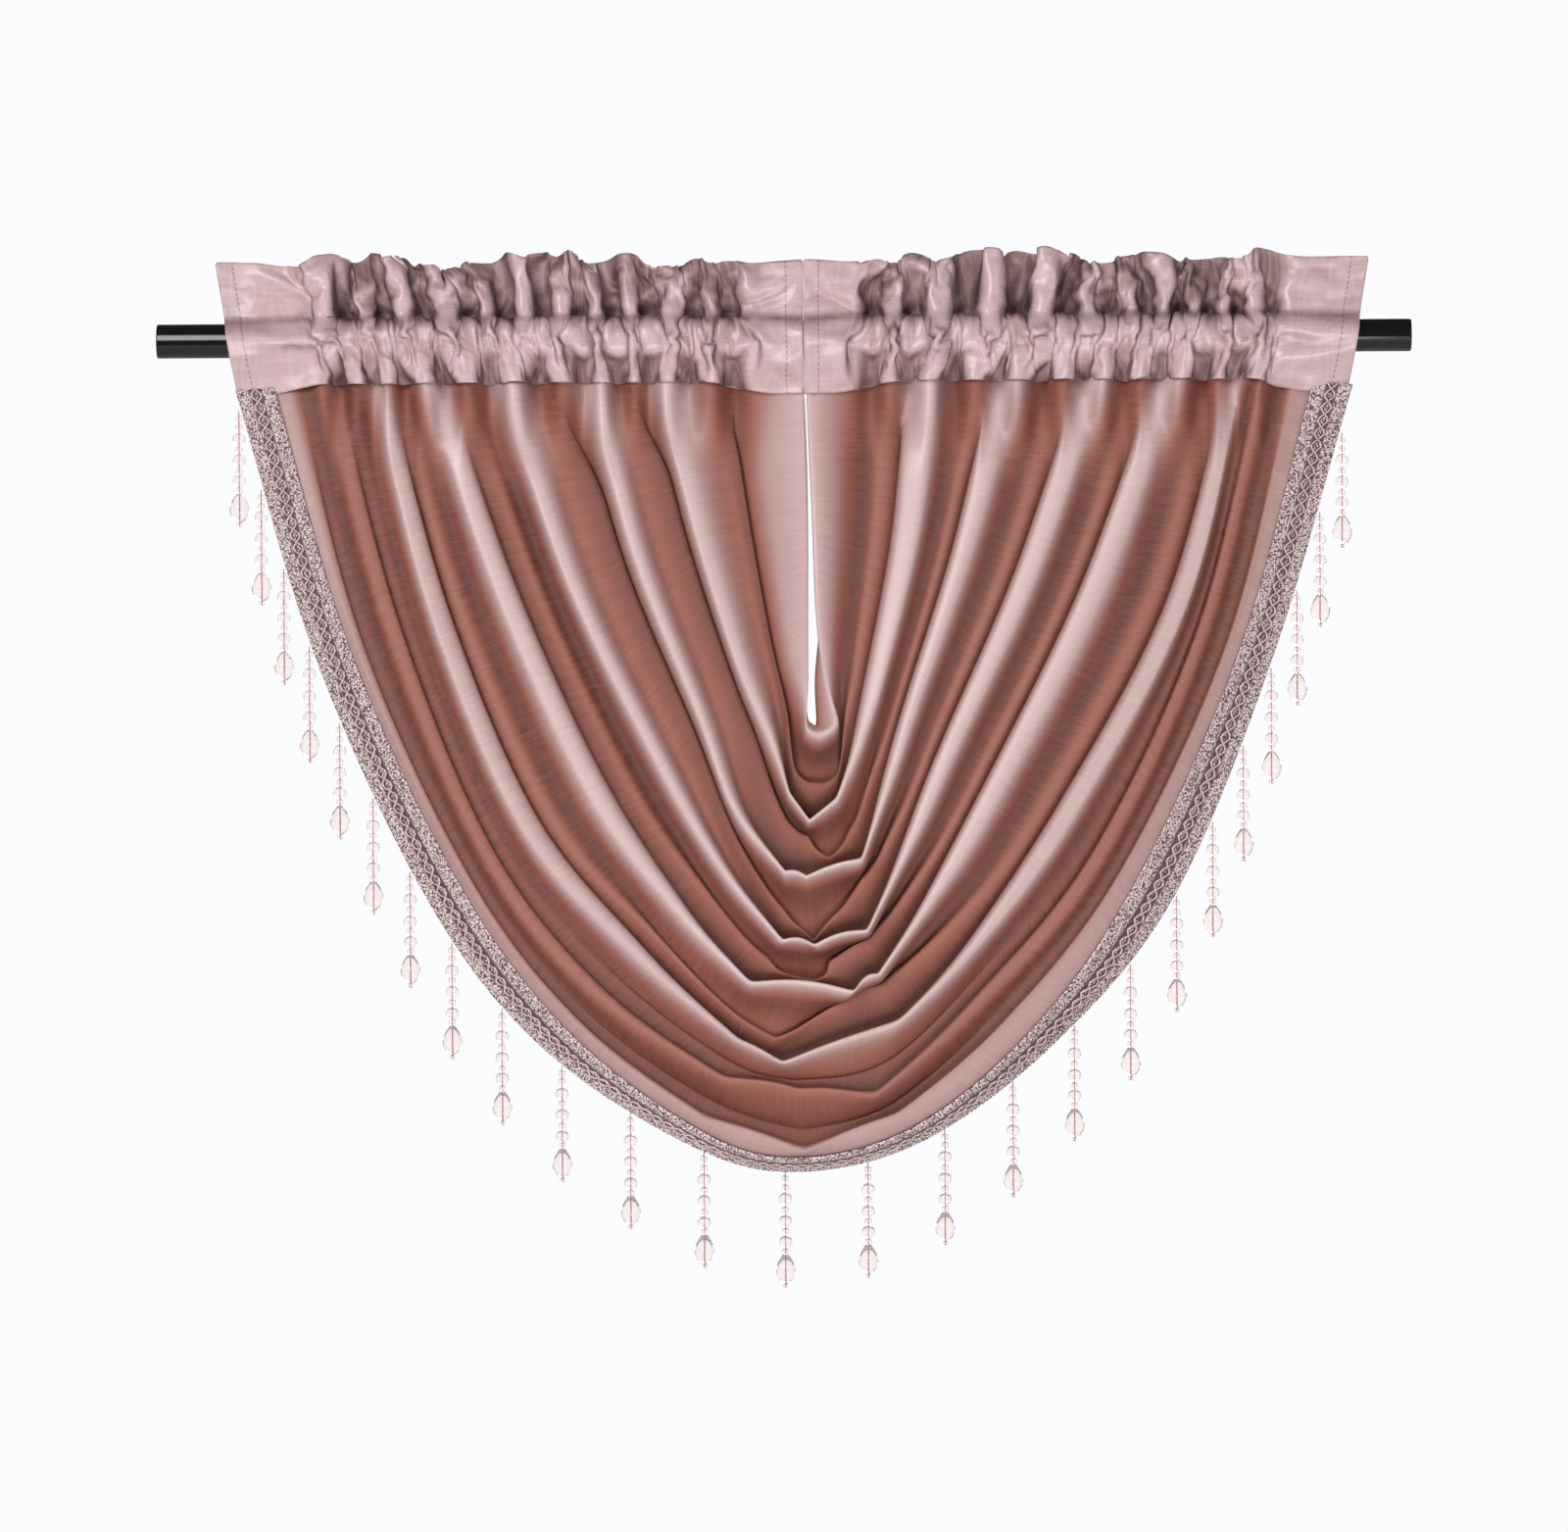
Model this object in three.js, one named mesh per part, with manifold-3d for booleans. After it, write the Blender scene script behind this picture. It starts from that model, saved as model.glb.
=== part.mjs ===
/**
 * Beaded valance on a curtain rod.
 *
 * A satin swag hangs in curved folds from two gathered headings, one to the left and one to the right
 * of a slit. Each heading is a frill above a stitched pocket that the rod runs through. A braid is sewn
 * along the swag's outer edge, and strands of beads hang from it.
 *
 * Millimetres. +X is to the right as seen from the room, +Z is up and -Y faces the room. The origin is
 * on the rod's axis, at the middle of its length under the heading.
 */
import * as THREE from 'three';
import { mergeVertices } from 'three/addons/utils/BufferGeometryUtils.js';
import Module from 'manifold-3d';

const wasm = await Module();
wasm.setup();

// ---------------------------------------------------------------- driving dimensions
const GAP = 0.3; // left between two pieces that touch

const ROD_RADIUS = 11;
const ROD_LEFT_END = -413;
const ROD_RIGHT_END = 402;
const ROD_SIDES = 28;

const HEADING_HALF_WIDTH = 375; // at the frill's top edge
const HEADING_END_SLANT = 13; // how far the ends draw in from the frill's top to the seam
const HEADING_MEET_X = 7; // where the left and right headings meet
const SEAM_Z = -28.4; // the heading's lower edge, where the swag is sewn on
const SEAM_GAP = 1.15; // between the heading and the swag, whose edges dip a little differently
const SEAM_DIP = 8; // how much lower the seam is where the heading is not gathered
const STITCH_Z = 14.5; // the stitching between the frill and the rod pocket
const FRILL_TOP_Z = 49;
const PLY = 1.4; // one wall of the rod pocket, two plies of satin and their seam
const GATHER_PITCH = 17.5; // half the width of one gather
const GATHER_DEPTH = 3.6;
const FLAT_END = 42; // the ends of each heading that are left without gathers

const CLOTH = 1.2; // thickness of the swag's cloth
const BRAID = 1.1; // thickness of the braid
const BRAID_EASE = 0.2; // what the braid needs over the gap to clear the cloth on the outside of bends
const BRAID_MIDDLE = 0.6; // where the braid bends a little, as a share of its width
const SPINE = 2; // the looped edge that the bead strands hang from
const SPINE_GAP = 0.55; // from the cloth's edge out to the looped edge, on the outside of every bend
const STRAND_PITCH = 53.3; // between bead strands, along the braid
const FIRST_STRAND = 14; // from the braid's upper left end
const STRAND_LENGTH = 75;
const STRAND_SIDES = 5;

// The ridges that run through the swag, from the hem inside the slit to the braid's outer edge. Each
// ridge falls from the seam on the left, through three stations on the arm, to a left corner, a lowest
// point and a right corner, and climbs back in the same way. kink is 1 where the cloth breaks at the
// corners and 0 where it is round; bow lifts it between the corners; reach is how far the ridge stands
// forward at the bottom.
const RIDGE_COLUMNS = [
  'leftTopX', 'leftHighX', 'leftLowX', 'leftDeepX', 'leftCornerX', 'leftCornerZ', 'lowestX', 'lowestZ',
  'rightCornerX', 'rightCornerZ', 'rightDeepX', 'rightLowX', 'rightHighX', 'rightTopX', 'kink', 'bow',
  'reach',
];
const RIDGES = [
  [3, 4, 5, 6, 8, -246, 11, -251, 14, -250, 13.4, 17, 18, 14, 0.1, 0, 24],
  [7, 8.5, 8.5, 8.5, 7.5, -254, 17, -259, 28, -250, 20.5, 14.5, 12, 9, 0.3, 0, 30],
  [-85, -62, -36, -15, -4, -296, 9, -314, 27, -300, 41, 57, 77, 88, 1, 0, 41],
  [-130, -101, -61, -39, -7, -347, 7, -350, 43, -339, 57, 76, 110, 140, 1, 2, 51],
  [-187, -144, -87, -47, -9, -391, 12, -394, 46, -385, 69, 99, 152, 198, 1, 3, 57],
  [-237, -187, -130, -78, -30, -418, 37, -424, 53, -413, 88, 131, 194, 246, 1, 4, 61],
  [-271, -232, -174, -102, -38, -454, -9, -469, 66, -443, 120, 178, 252, 292, 0.8, 2, 62],
  [-304, -260, -200, -133, -48, -479, 2, -487, 50, -491, 118, 194, 264, 307, 0.7, 3, 60],
  [-329, -283, -212, -143, -60, -505, 5, -527, 66, -503, 140, 211, 284, 329, 0.5, 4, 54],
  [-337, -286, -214, -146, -64, -510, -2, -529, 74, -510, 151, 217, 288, 338, 0, 0, 50],
  [-362, -309, -237, -166, -72, -519, -2, -538, 80, -519, 167, 244, 310, 364, 0, 0, 27],
];
const HEM = 0;
const RIM = 1;
const LAST_RIDGE = 8;
const BRAID_INNER = 9;
const BRAID_OUTER = 10;
const HEM_MIDDLE = 0.6; // where the hem bends a little, as a share of its width
const ARM_DROPS = [0.36, 0.68, 0.87]; // how far down the arm its high, low and deep stations are

// The fold between each ridge and the next. depth is how far it goes back, on the arms and at the
// bottom; lip is 1 where the left arm's outer cloth laps over the ridge and 0 where the next ridge laps
// over the valley instead; tuck closes the pocket at the bottom. The creases say where the fold's edge
// lies across it: on each arm, at each corner and at its apex, the station where it runs to a point.
const FOLD_COLUMNS = [
  'leftDepth', 'bottomDepth', 'rightDepth', 'lip', 'tuck', 'leftArmCrease', 'leftCrease', 'apex',
  'apexCrease', 'rightCrease', 'rightArmCrease',
];
const FOLDS = [
  [14, 26, 14, 1, 1, 0.52, 0.62, 5.0, 0.52, 0.66, 0.36],
  [15, 24, 15, 1, 1, 0.2, 0.34, 5.45, 0.79, 0.47, 0.3],
  [16, 25, 15, 1, 1, 0.2, 0.51, 5.0, 0.92, 0.2, 0.3],
  [15, 24, 16, 0.3, 1, 0.22, 0.38, 4.55, 0.78, 0.15, 0.3],
  [14, 23, 16, 0, 0.95, 0.3, 0.62, 4.65, 0.7, 0.12, 0.3],
  [9, 14, 10, 0, 0.5, 0.3, 0.5, 5.0, 0.7, 0.5, 0.3],
  [6, 16, 6, 0, 0.4, 0.3, 0.5, 5.0, 0.7, 0.5, 0.3],
];
const CREASE_BLEND = 1.5; // stations over which an arm's crease turns into the corner's

// Cross-sections of one fold, from a ridge at (0, 0) to the next ridge at (1, 0). Each point has its
// share of the way across, how far it follows the crease, and its share of the fold's depth.
const SECTIONS = {
  seam: [[0.14, 0, 0.2], [0.28, 0, 0.7], [0.42, 0, 1], [0.56, 0, 0.9], [0.7, 0, 0.7], [0.86, 0, 0.2]],
  lapped: [[0, 0.72, 0.12], [0.07, 1, 0.95], [0.2, 1, 0.95], [0, 1, 0.3], [0.73, 0, 0.66], [0.85, 0, 0.13]],
  tucked: [[0, 0.58, 0.1], [0, 1.1, 0.7], [0.18, 1, 0.76], [0.66, 0, 0.55], [0.9, 0, 0.92], [0.8, 0, 0.22]],
  bottom: [[0.08, 0.06, 0.34], [0, 1, 1], [0.16, 1, 0.98], [0, 1, 0.52], [1.1, 0, 0.9], [1.02, 0, 0.32]],
  shallow: [[0.18, 0, 0.1], [0.32, 0, 0.6], [0.46, 0, 1], [0.62, 0, 0.95], [0.76, 0, 0.5], [0.88, 0, 0.1]],
};

// Stations along a ridge: 0 is the seam on the left, 4 the left corner, 5 the lowest point, 6 the right
// corner and 10 the seam on the right.
const STATIONS = 10;
const CORNER = 4;
const STEPS_BETWEEN_STATIONS = [2, 3, 2, 2, 2, 2, 2, 2, 3, 2];
const SWELL = [0, 0.38, 0.7, 0.88, 1, 1, 1, 0.88, 0.7, 0.38, 0]; // share of the reach at each station
const SEAM_REACH = 2;
const SEAM_FOLD = 3;
const SEAM_BLEND = 0.7; // stations over which the sewn waves open into folds
const ARM_ENDS = 2.2; // station where an arm's section starts to turn into the bottom's
const BOTTOM_STARTS = 4.4;
const ARM_TUCK = 1.4; // an arm's fold closes this much more than the bottom's

// ---------------------------------------------------------------- helpers
const named = (columns, rows) => rows.map(
  (row) => Object.fromEntries(columns.map((name, i) => [name, row[i]])),
);
const ridges = named(RIDGE_COLUMNS, RIDGES);
const folds = named(FOLD_COLUMNS, FOLDS);
const mix = THREE.MathUtils.lerp;
const smooth = (value, low, high) => THREE.MathUtils.smoothstep(value, low, high);

/** A value that runs smoothly through evenly spaced stations. */
function through(values, station) {
  const last = values.length - 1;
  const i = Math.min(Math.floor(station), last - 1);
  const t = station - i;
  const before = values[Math.max(i - 1, 0)];
  const after = values[Math.min(i + 2, last)];
  const startSlope = (values[i + 1] - before) / (i > 0 ? 2 : 1);
  const endSlope = (after - values[i]) / (i + 2 <= last ? 2 : 1);
  const t2 = t * t;
  const t3 = t2 * t;
  return (2 * t3 - 3 * t2 + 1) * values[i] + (t3 - 2 * t2 + t) * startSlope
    + (3 * t2 - 2 * t3) * values[i + 1] + (t3 - t2) * endSlope;
}

/** The same, but broken at the corners and straight across the bottom. */
function throughCorners(values, station) {
  const middle = CORNER + 1;
  const right = CORNER + 2;
  if (station <= CORNER) return through(values.slice(0, middle), station);
  if (station >= right) return through(values.slice(right), station - right);
  if (station < middle) return mix(values[CORNER], values[middle], station - CORNER);
  return mix(values[middle], values[right], station - middle);
}

function ridgeValue(values, kink, station) {
  return mix(through(values, station), throughCorners(values, station), kink);
}

/** Height of the seam: it dips at the middle and at the ends, where the heading is not gathered. */
function seamZ(x) {
  const middle = 1 - THREE.MathUtils.clamp((Math.abs(x - HEADING_MEET_X) - 20) / 50, 0, 1);
  const end = THREE.MathUtils.clamp((Math.abs(x) - 300) / 50, 0, 1);
  return SEAM_Z - SEAM_DIP * Math.max(middle, end);
}

/** A point on a ridge, on the middle of the cloth. sharpness is how much of the ridge's kink is kept. */
function ridgePoint(index, station, sharpness = 1) {
  const r = ridges[index];
  const kink = r.kink * sharpness;
  const xs = [r.leftTopX, r.leftHighX, r.leftLowX, r.leftDeepX, r.leftCornerX, r.lowestX, r.rightCornerX,
    r.rightDeepX, r.rightLowX, r.rightHighX, r.rightTopX];
  const leftTop = seamZ(r.leftTopX) - SEAM_GAP;
  const rightTop = seamZ(r.rightTopX) - SEAM_GAP;
  const leftZs = ARM_DROPS.map((drop) => mix(leftTop, r.leftCornerZ, drop));
  const rightZs = ARM_DROPS.map((drop) => mix(rightTop, r.rightCornerZ, drop));
  const zs = [leftTop, ...leftZs, r.leftCornerZ, r.lowestZ, r.rightCornerZ, ...rightZs.reverse(), rightTop];
  const forward = mix(SEAM_REACH, r.reach, through(SWELL, station));
  const point = new THREE.Vector3(ridgeValue(xs, kink, station), -forward, ridgeValue(zs, kink, station));
  const betweenCorners = station > CORNER && station < CORNER + 2;
  if (betweenCorners) point.z += r.bow * sharpness * Math.abs(Math.sin(Math.PI * (station - CORNER)));
  return point;
}

const mixSections = (a, b, t) => a.map((point, i) => point.map((value, k) => mix(value, b[i][k], t)));

/** Where a fold's edge lies across it at a station: it runs to a point at the bottom. */
function creaseShare(fold, station) {
  const left = CORNER;
  const right = CORNER + 2;
  if (station <= left) {
    return mix(fold.leftArmCrease, fold.leftCrease, smooth(station, left - CREASE_BLEND, left));
  }
  if (station >= right) {
    return mix(fold.rightCrease, fold.rightArmCrease, smooth(station, right, right + CREASE_BLEND));
  }
  if (station < fold.apex) {
    return mix(fold.leftCrease, fold.apexCrease, (station - left) / (fold.apex - left));
  }
  return mix(fold.apexCrease, fold.rightCrease, (station - fold.apex) / (right - fold.apex));
}

/** The cross-section of one fold at a station: shares of the way across, and depths in millimetres. */
function foldSection(fold, station) {
  const onLeft = station < STATIONS / 2;
  const fromSeam = Math.min(station, STATIONS - station);
  const opened = smooth(fromSeam, 0, SEAM_BLEND);
  const arm = onLeft ? mixSections(SECTIONS.tucked, SECTIONS.lapped, fold.lip) : SECTIONS.tucked;
  const softened = mixSections(SECTIONS.shallow, arm, Math.min(1, fold.tuck * ARM_TUCK));
  const bottom = mixSections(SECTIONS.shallow, SECTIONS.bottom, fold.tuck);
  const hanging = mixSections(softened, bottom, smooth(fromSeam, ARM_ENDS, BOTTOM_STARTS));
  const armDepth = mix(SEAM_FOLD, onLeft ? fold.leftDepth : fold.rightDepth, opened);
  const depth = mix(armDepth, fold.bottomDepth, smooth(fromSeam, ARM_ENDS, CORNER));
  const crease = creaseShare(fold, station);
  const section = mixSections(SECTIONS.seam, hanging, opened);
  return section.map(([s, follow, d]) => [s + follow * crease, d * depth]);
}

/** All the points across the swag at one station, from the hem in the slit to the outer edge. */
function clothAcross(station) {
  const hem = ridgePoint(HEM, station);
  const points = [hem, hem.clone().lerp(ridgePoint(RIM, station), HEM_MIDDLE)];
  folds.forEach((fold, k) => {
    const near = k + RIM;
    points.push(ridgePoint(near, station));
    foldSection(fold, station).forEach(([s, depth]) => {
      const sharpness = Math.min(1, Math.abs(2 * s - 1));
      const p = ridgePoint(near, station, sharpness).lerp(ridgePoint(near + 1, station, sharpness), s);
      p.y += depth;
      points.push(p);
    });
  });
  const inner = ridgePoint(BRAID_INNER, station);
  const outer = ridgePoint(BRAID_OUTER, station);
  points.push(ridgePoint(LAST_RIDGE, station), inner, inner.clone().lerp(outer, BRAID_MIDDLE), outer);
  if (station === 0 || station === STATIONS) points.forEach((p) => { p.z = seamZ(p.x) - SEAM_GAP; });
  return points;
}

function stationList() {
  const list = [];
  STEPS_BETWEEN_STATIONS.forEach((steps, i) => {
    for (let k = 0; k < steps; k += 1) list.push(i + k / steps);
  });
  list.push(STATIONS);
  return list;
}
const stations = stationList();

/**
 * A closed solid from a grid of points, from offset back to offset front along the grid's own normals.
 * The first and last rows stay level, so that the solid ends in flat faces at the seam.
 */
function solidFromGrid(grid, back, front) {
  const rows = grid.length;
  const cols = grid[0].length;
  const faceNormal = (i, j) => {
    const a = grid[i][j];
    const across = grid[i + 1][j + 1].clone().sub(a);
    const other = grid[i + 1][j].clone().sub(grid[i][j + 1]);
    return across.cross(other).normalize();
  };
  const positions = [];
  const offsetPoint = (i, j, distance) => {
    const around = [];
    for (const di of [-1, 0]) {
      for (const dj of [-1, 0]) {
        const inside = i + di >= 0 && i + di < rows - 1 && j + dj >= 0 && j + dj < cols - 1;
        if (inside) around.push(faceNormal(i + di, j + dj));
      }
    }
    const normal = around.reduce((sum, n) => sum.add(n), new THREE.Vector3());
    if (i === 0 || i === rows - 1) normal.z = 0;
    normal.normalize();
    const spread = around.reduce((sum, n) => sum + n.dot(normal), 0) / around.length;
    return grid[i][j].clone().addScaledVector(normal, distance / Math.max(spread, 0.5));
  };
  for (const distance of [back, front]) {
    for (let i = 0; i < rows; i += 1) {
      for (let j = 0; j < cols; j += 1) positions.push(...offsetPoint(i, j, distance).toArray());
    }
  }
  const at = (layer, i, j) => layer * rows * cols + i * cols + j;
  const index = [];
  const quad = (a, b, c, d) => index.push(a, c, b, a, d, c);
  for (let i = 0; i < rows - 1; i += 1) {
    for (let j = 0; j < cols - 1; j += 1) {
      quad(at(1, i, j), at(1, i + 1, j), at(1, i + 1, j + 1), at(1, i, j + 1));
      quad(at(0, i, j), at(0, i, j + 1), at(0, i + 1, j + 1), at(0, i + 1, j));
    }
    quad(at(0, i, 0), at(0, i + 1, 0), at(1, i + 1, 0), at(1, i, 0));
    quad(at(1, i, cols - 1), at(1, i + 1, cols - 1), at(0, i + 1, cols - 1), at(0, i, cols - 1));
  }
  for (let j = 0; j < cols - 1; j += 1) {
    quad(at(0, 0, j + 1), at(0, 0, j), at(1, 0, j), at(1, 0, j + 1));
    quad(at(0, rows - 1, j), at(0, rows - 1, j + 1), at(1, rows - 1, j + 1), at(1, rows - 1, j));
  }
  return closedGeometry(positions, index);
}

function closedGeometry(positions, index) {
  const geometry = new THREE.BufferGeometry();
  geometry.setAttribute('position', new THREE.Float32BufferAttribute(positions, 3));
  geometry.setIndex(index);
  geometry.computeVertexNormals();
  return geometry;
}

// ---------------------------------------------------------------- the swag
function swagGeometry() {
  return solidFromGrid(stations.map(clothAcross), -CLOTH / 2, CLOTH / 2);
}

// ---------------------------------------------------------------- the braid and the beads
function braidGeometry() {
  const shares = [0.04, BRAID_MIDDLE, 1];
  const middle = stations.map((station) => {
    const inner = ridgePoint(BRAID_INNER, station);
    const outer = ridgePoint(BRAID_OUTER, station);
    return shares.map((share) => inner.clone().lerp(outer, share));
  });
  const back = CLOTH / 2 + GAP + BRAID_EASE;
  return solidFromGrid(middle, back, back + BRAID);
}

/** The looped edge that carries the strands: its middle, just outside the braid, and its directions. */
function spineFrame(station) {
  const step = 0.02;
  const outer = ridgePoint(BRAID_OUTER, station);
  const outward = outer.clone().sub(ridgePoint(BRAID_INNER, station)).normalize();
  const ahead = ridgePoint(BRAID_OUTER, Math.min(station + step, STATIONS));
  const along = ahead.sub(ridgePoint(BRAID_OUTER, Math.max(station - step, 0))).normalize();
  const normal = outward.clone().cross(along).normalize();
  const middle = outer.clone().addScaledVector(outward, SPINE / 2 + SPINE_GAP);
  middle.addScaledVector(normal, CLOTH / 2 + GAP + BRAID / 2);
  return { middle, outward, normal };
}

function spineGeometry() {
  const positions = [];
  const index = [];
  const half = SPINE / 2;
  const corners = [[-half, -half], [half, -half], [half, half], [-half, half]];
  stations.forEach((station) => {
    const { middle, outward, normal } = spineFrame(station);
    corners.forEach(([out, front]) => {
      const corner = middle.clone().addScaledVector(outward, out).addScaledVector(normal, front);
      positions.push(...corner.toArray());
    });
  });
  const ends = (stations.length - 1) * 4;
  for (let i = 0; i < ends; i += 4) {
    for (let k = 0; k < 4; k += 1) {
      const a = i + k;
      const b = i + ((k + 1) % 4);
      index.push(a, b + 4, b, a, a + 4, b + 4);
    }
  }
  index.push(0, 2, 3, 0, 1, 2, ends, ends + 2, ends + 1, ends, ends + 3, ends + 2);
  return closedGeometry(positions, index);
}

/** Where the strands hang: evenly spaced along the spine. */
function strandTops() {
  const middles = stations.map((station) => spineFrame(station).middle);
  const tops = [];
  let next = FIRST_STRAND;
  for (let i = 1; i < middles.length; i += 1) {
    const length = middles[i].distanceTo(middles[i - 1]);
    for (; next <= length; next += STRAND_PITCH) {
      tops.push(middles[i - 1].clone().lerp(middles[i], next / length));
    }
    next -= length;
  }
  return tops;
}

/** One strand, as a turned body: a string of small beads, thicker in the middle, and a long drop. */
function strandGeometry(top) {
  const drop = 23;
  const bead = 2.6;
  const outline = [
    [0, 0], [bead, -9], [bead, -STRAND_LENGTH + drop + 6], [1.6, -STRAND_LENGTH + drop + 1],
    [6.2, -STRAND_LENGTH + 9], [2.4, -STRAND_LENGTH], [0, -STRAND_LENGTH],
  ];
  const fromTheFoot = outline.reverse().map(([r, z]) => new THREE.Vector2(r, z));
  const geometry = new THREE.LatheGeometry(fromTheFoot, STRAND_SIDES);
  geometry.rotateX(Math.PI / 2);
  geometry.translate(top.x, top.y, top.z);
  return geometry;
}

function toManifold(geometry) {
  const bare = geometry.clone();
  bare.deleteAttribute('normal');
  bare.deleteAttribute('uv');
  const merged = mergeVertices(bare, 1e-4);
  const index = Array.from(merged.index.array);
  const whole = [];
  for (let i = 0; i < index.length; i += 3) {
    const [a, b, c] = index.slice(i, i + 3);
    if (a !== b && b !== c && c !== a) whole.push(a, b, c);
  }
  return new wasm.Manifold(new wasm.Mesh({
    numProp: 3,
    vertProperties: new Float32Array(merged.attributes.position.array),
    triVerts: new Uint32Array(whole),
  }));
}

function beadFringeGeometry() {
  let comb = toManifold(spineGeometry());
  for (const top of strandTops()) comb = comb.add(toManifold(strandGeometry(top)));
  const mesh = comb.getMesh();
  return closedGeometry(Array.from(mesh.vertProperties), Array.from(mesh.triVerts));
}

// ---------------------------------------------------------------- the headings
/** Uneven gathers: each station leans to the other side of the last, by its own amount. */
function gatherLean(index, fade) {
  const uneven = 0.65 + 0.35 * Math.sin(index * 2.4 + 0.7);
  return (index % 2 ? -1 : 1) * GATHER_DEPTH * uneven * fade;
}

/** The outline of a heading and of its rod pocket, front first, at one place along the rod. */
function headingSection(lean, puff, top, seam) {
  const pocket = ROD_RADIUS + GAP + 0.1;
  const wall = pocket + PLY;
  const half = PLY * 0.8;
  const front = [
    [-1.3, seam], [-7.4 - puff * 0.6, -16.9], [-wall - puff, -5.2], [-wall - puff, 5.2],
    [-5.4 - puff * 0.4, 12.9], [-half, STITCH_Z], [-half + lean * 0.6, 30], [-half + lean, top],
  ];
  const back = [
    [half + lean, top], [half + lean * 0.6, 30], [half, STITCH_Z], [5.4, 12.9], [wall, 5.2], [wall, -5.2],
    [7.4, -16.9], [1.3, seam],
  ];
  const channel = [
    [-4.7, pocket], [-pocket - puff, 4.7], [-pocket - puff, -4.7], [-6 - puff * 0.6, -16], [0, -24],
    [6, -16], [pocket, -4.7], [pocket, 4.7], [4.7, pocket],
  ];
  return { outer: [...front, ...back], channel };
}

function headingGeometry(fromX, toX, outerEndSign) {
  const count = Math.round((toX - fromX) / GATHER_PITCH);
  const positions = [];
  const sections = [];
  for (let i = 0; i <= count; i += 1) {
    const x = mix(fromX, toX, i / count);
    const fade = smooth(Math.min(x - fromX, toX - x), FLAT_END * 0.4, FLAT_END * 1.3);
    const lean = gatherLean(i, fade);
    const puff = (i % 2 ? 2.6 : 0.3) * fade;
    const top = FRILL_TOP_Z + 4 * Math.sin(x / 31 + 1) - (i % 2 ? 2 : 0) * fade;
    const section = headingSection(lean, puff, top, seamZ(x));
    sections.push(section);
    const endShare = outerEndSign < 0 ? 1 - i / count : i / count;
    for (const [y, z] of [...section.outer, ...section.channel]) {
      const drawnIn = HEADING_END_SLANT * smooth(endShare, 0.85, 1) * ((top - z) / (top - SEAM_Z));
      positions.push(x - outerEndSign * drawnIn, y, z);
    }
  }
  const outerCount = sections[0].outer.length;
  const channelCount = sections[0].channel.length;
  const stride = outerCount + channelCount;
  const index = [];
  const band = (start, size) => {
    for (let i = 0; i < count; i += 1) {
      for (let k = 0; k < size; k += 1) {
        const a = i * stride + start + k;
        const b = i * stride + start + ((k + 1) % size);
        const c = b + stride;
        const d = a + stride;
        index.push(a, d, c, a, c, b);
      }
    }
  };
  band(0, outerCount);
  band(outerCount, channelCount);
  const cap = (station, flip) => {
    const { outer, channel } = sections[station];
    const contour = outer.map(([y, z]) => new THREE.Vector2(y, z));
    const hole = channel.map(([y, z]) => new THREE.Vector2(y, z));
    for (const [a, b, c] of THREE.ShapeUtils.triangulateShape(contour, [hole])) {
      const base = station * stride;
      if (flip) index.push(base + a, base + c, base + b);
      else index.push(base + a, base + b, base + c);
    }
  };
  cap(0, true);
  cap(count, false);
  return closedGeometry(positions, index);
}

// ---------------------------------------------------------------- the assembly
const satin = { color: 0x9a7068, roughness: 0.45, metalness: 0.0 };
const finishes = {
  rod: { color: 0x0b0b0c, roughness: 0.22, metalness: 0.3 },
  heading: { color: 0xa88a88, roughness: 0.42, metalness: 0.0 },
  swag: satin,
  braid: { color: 0xab9391, roughness: 0.8, metalness: 0.0 },
  beads: { color: 0xe6d6d6, roughness: 0.12, metalness: 0.0 },
};

const valance = new THREE.Group();

function addPiece(name, geometry, finish) {
  const mesh = new THREE.Mesh(geometry, new THREE.MeshStandardMaterial(finish));
  mesh.name = name;
  valance.add(mesh);
  return mesh;
}

const rodLength = ROD_RIGHT_END - ROD_LEFT_END;
const tube = new THREE.CylinderGeometry(ROD_RADIUS, ROD_RADIUS, rodLength, ROD_SIDES);
const rod = addPiece('rod', tube, finishes.rod);
rod.rotation.z = Math.PI / 2;
rod.position.x = (ROD_LEFT_END + ROD_RIGHT_END) / 2;

addPiece('heading_left', headingGeometry(-HEADING_HALF_WIDTH, HEADING_MEET_X - GAP, -1), finishes.heading);
addPiece('heading_right', headingGeometry(HEADING_MEET_X, HEADING_HALF_WIDTH, 1), finishes.heading);
addPiece('swag', swagGeometry(), finishes.swag);
addPiece('braid', braidGeometry(), finishes.braid);
addPiece('bead_fringe', beadFringeGeometry(), finishes.beads);

export default valance;
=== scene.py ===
# %% [markdown]
# # A beaded valance on its rod
#
# A satin swag hangs in curved folds from two gathered headings. A woven braid is sewn round its lower
# edge and pink acrylic beads hang from the braid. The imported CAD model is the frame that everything
# here is fitted to: it gives the size and the place of the rod, the headings, the cloth and the fringe.
# The script works in metres, with +X to the right, +Z up and the room on the -Y side.

# %% Load the frame
import bisect
import math
import random

import bmesh
import bpy
from mathutils import Matrix, Vector, noise


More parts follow.
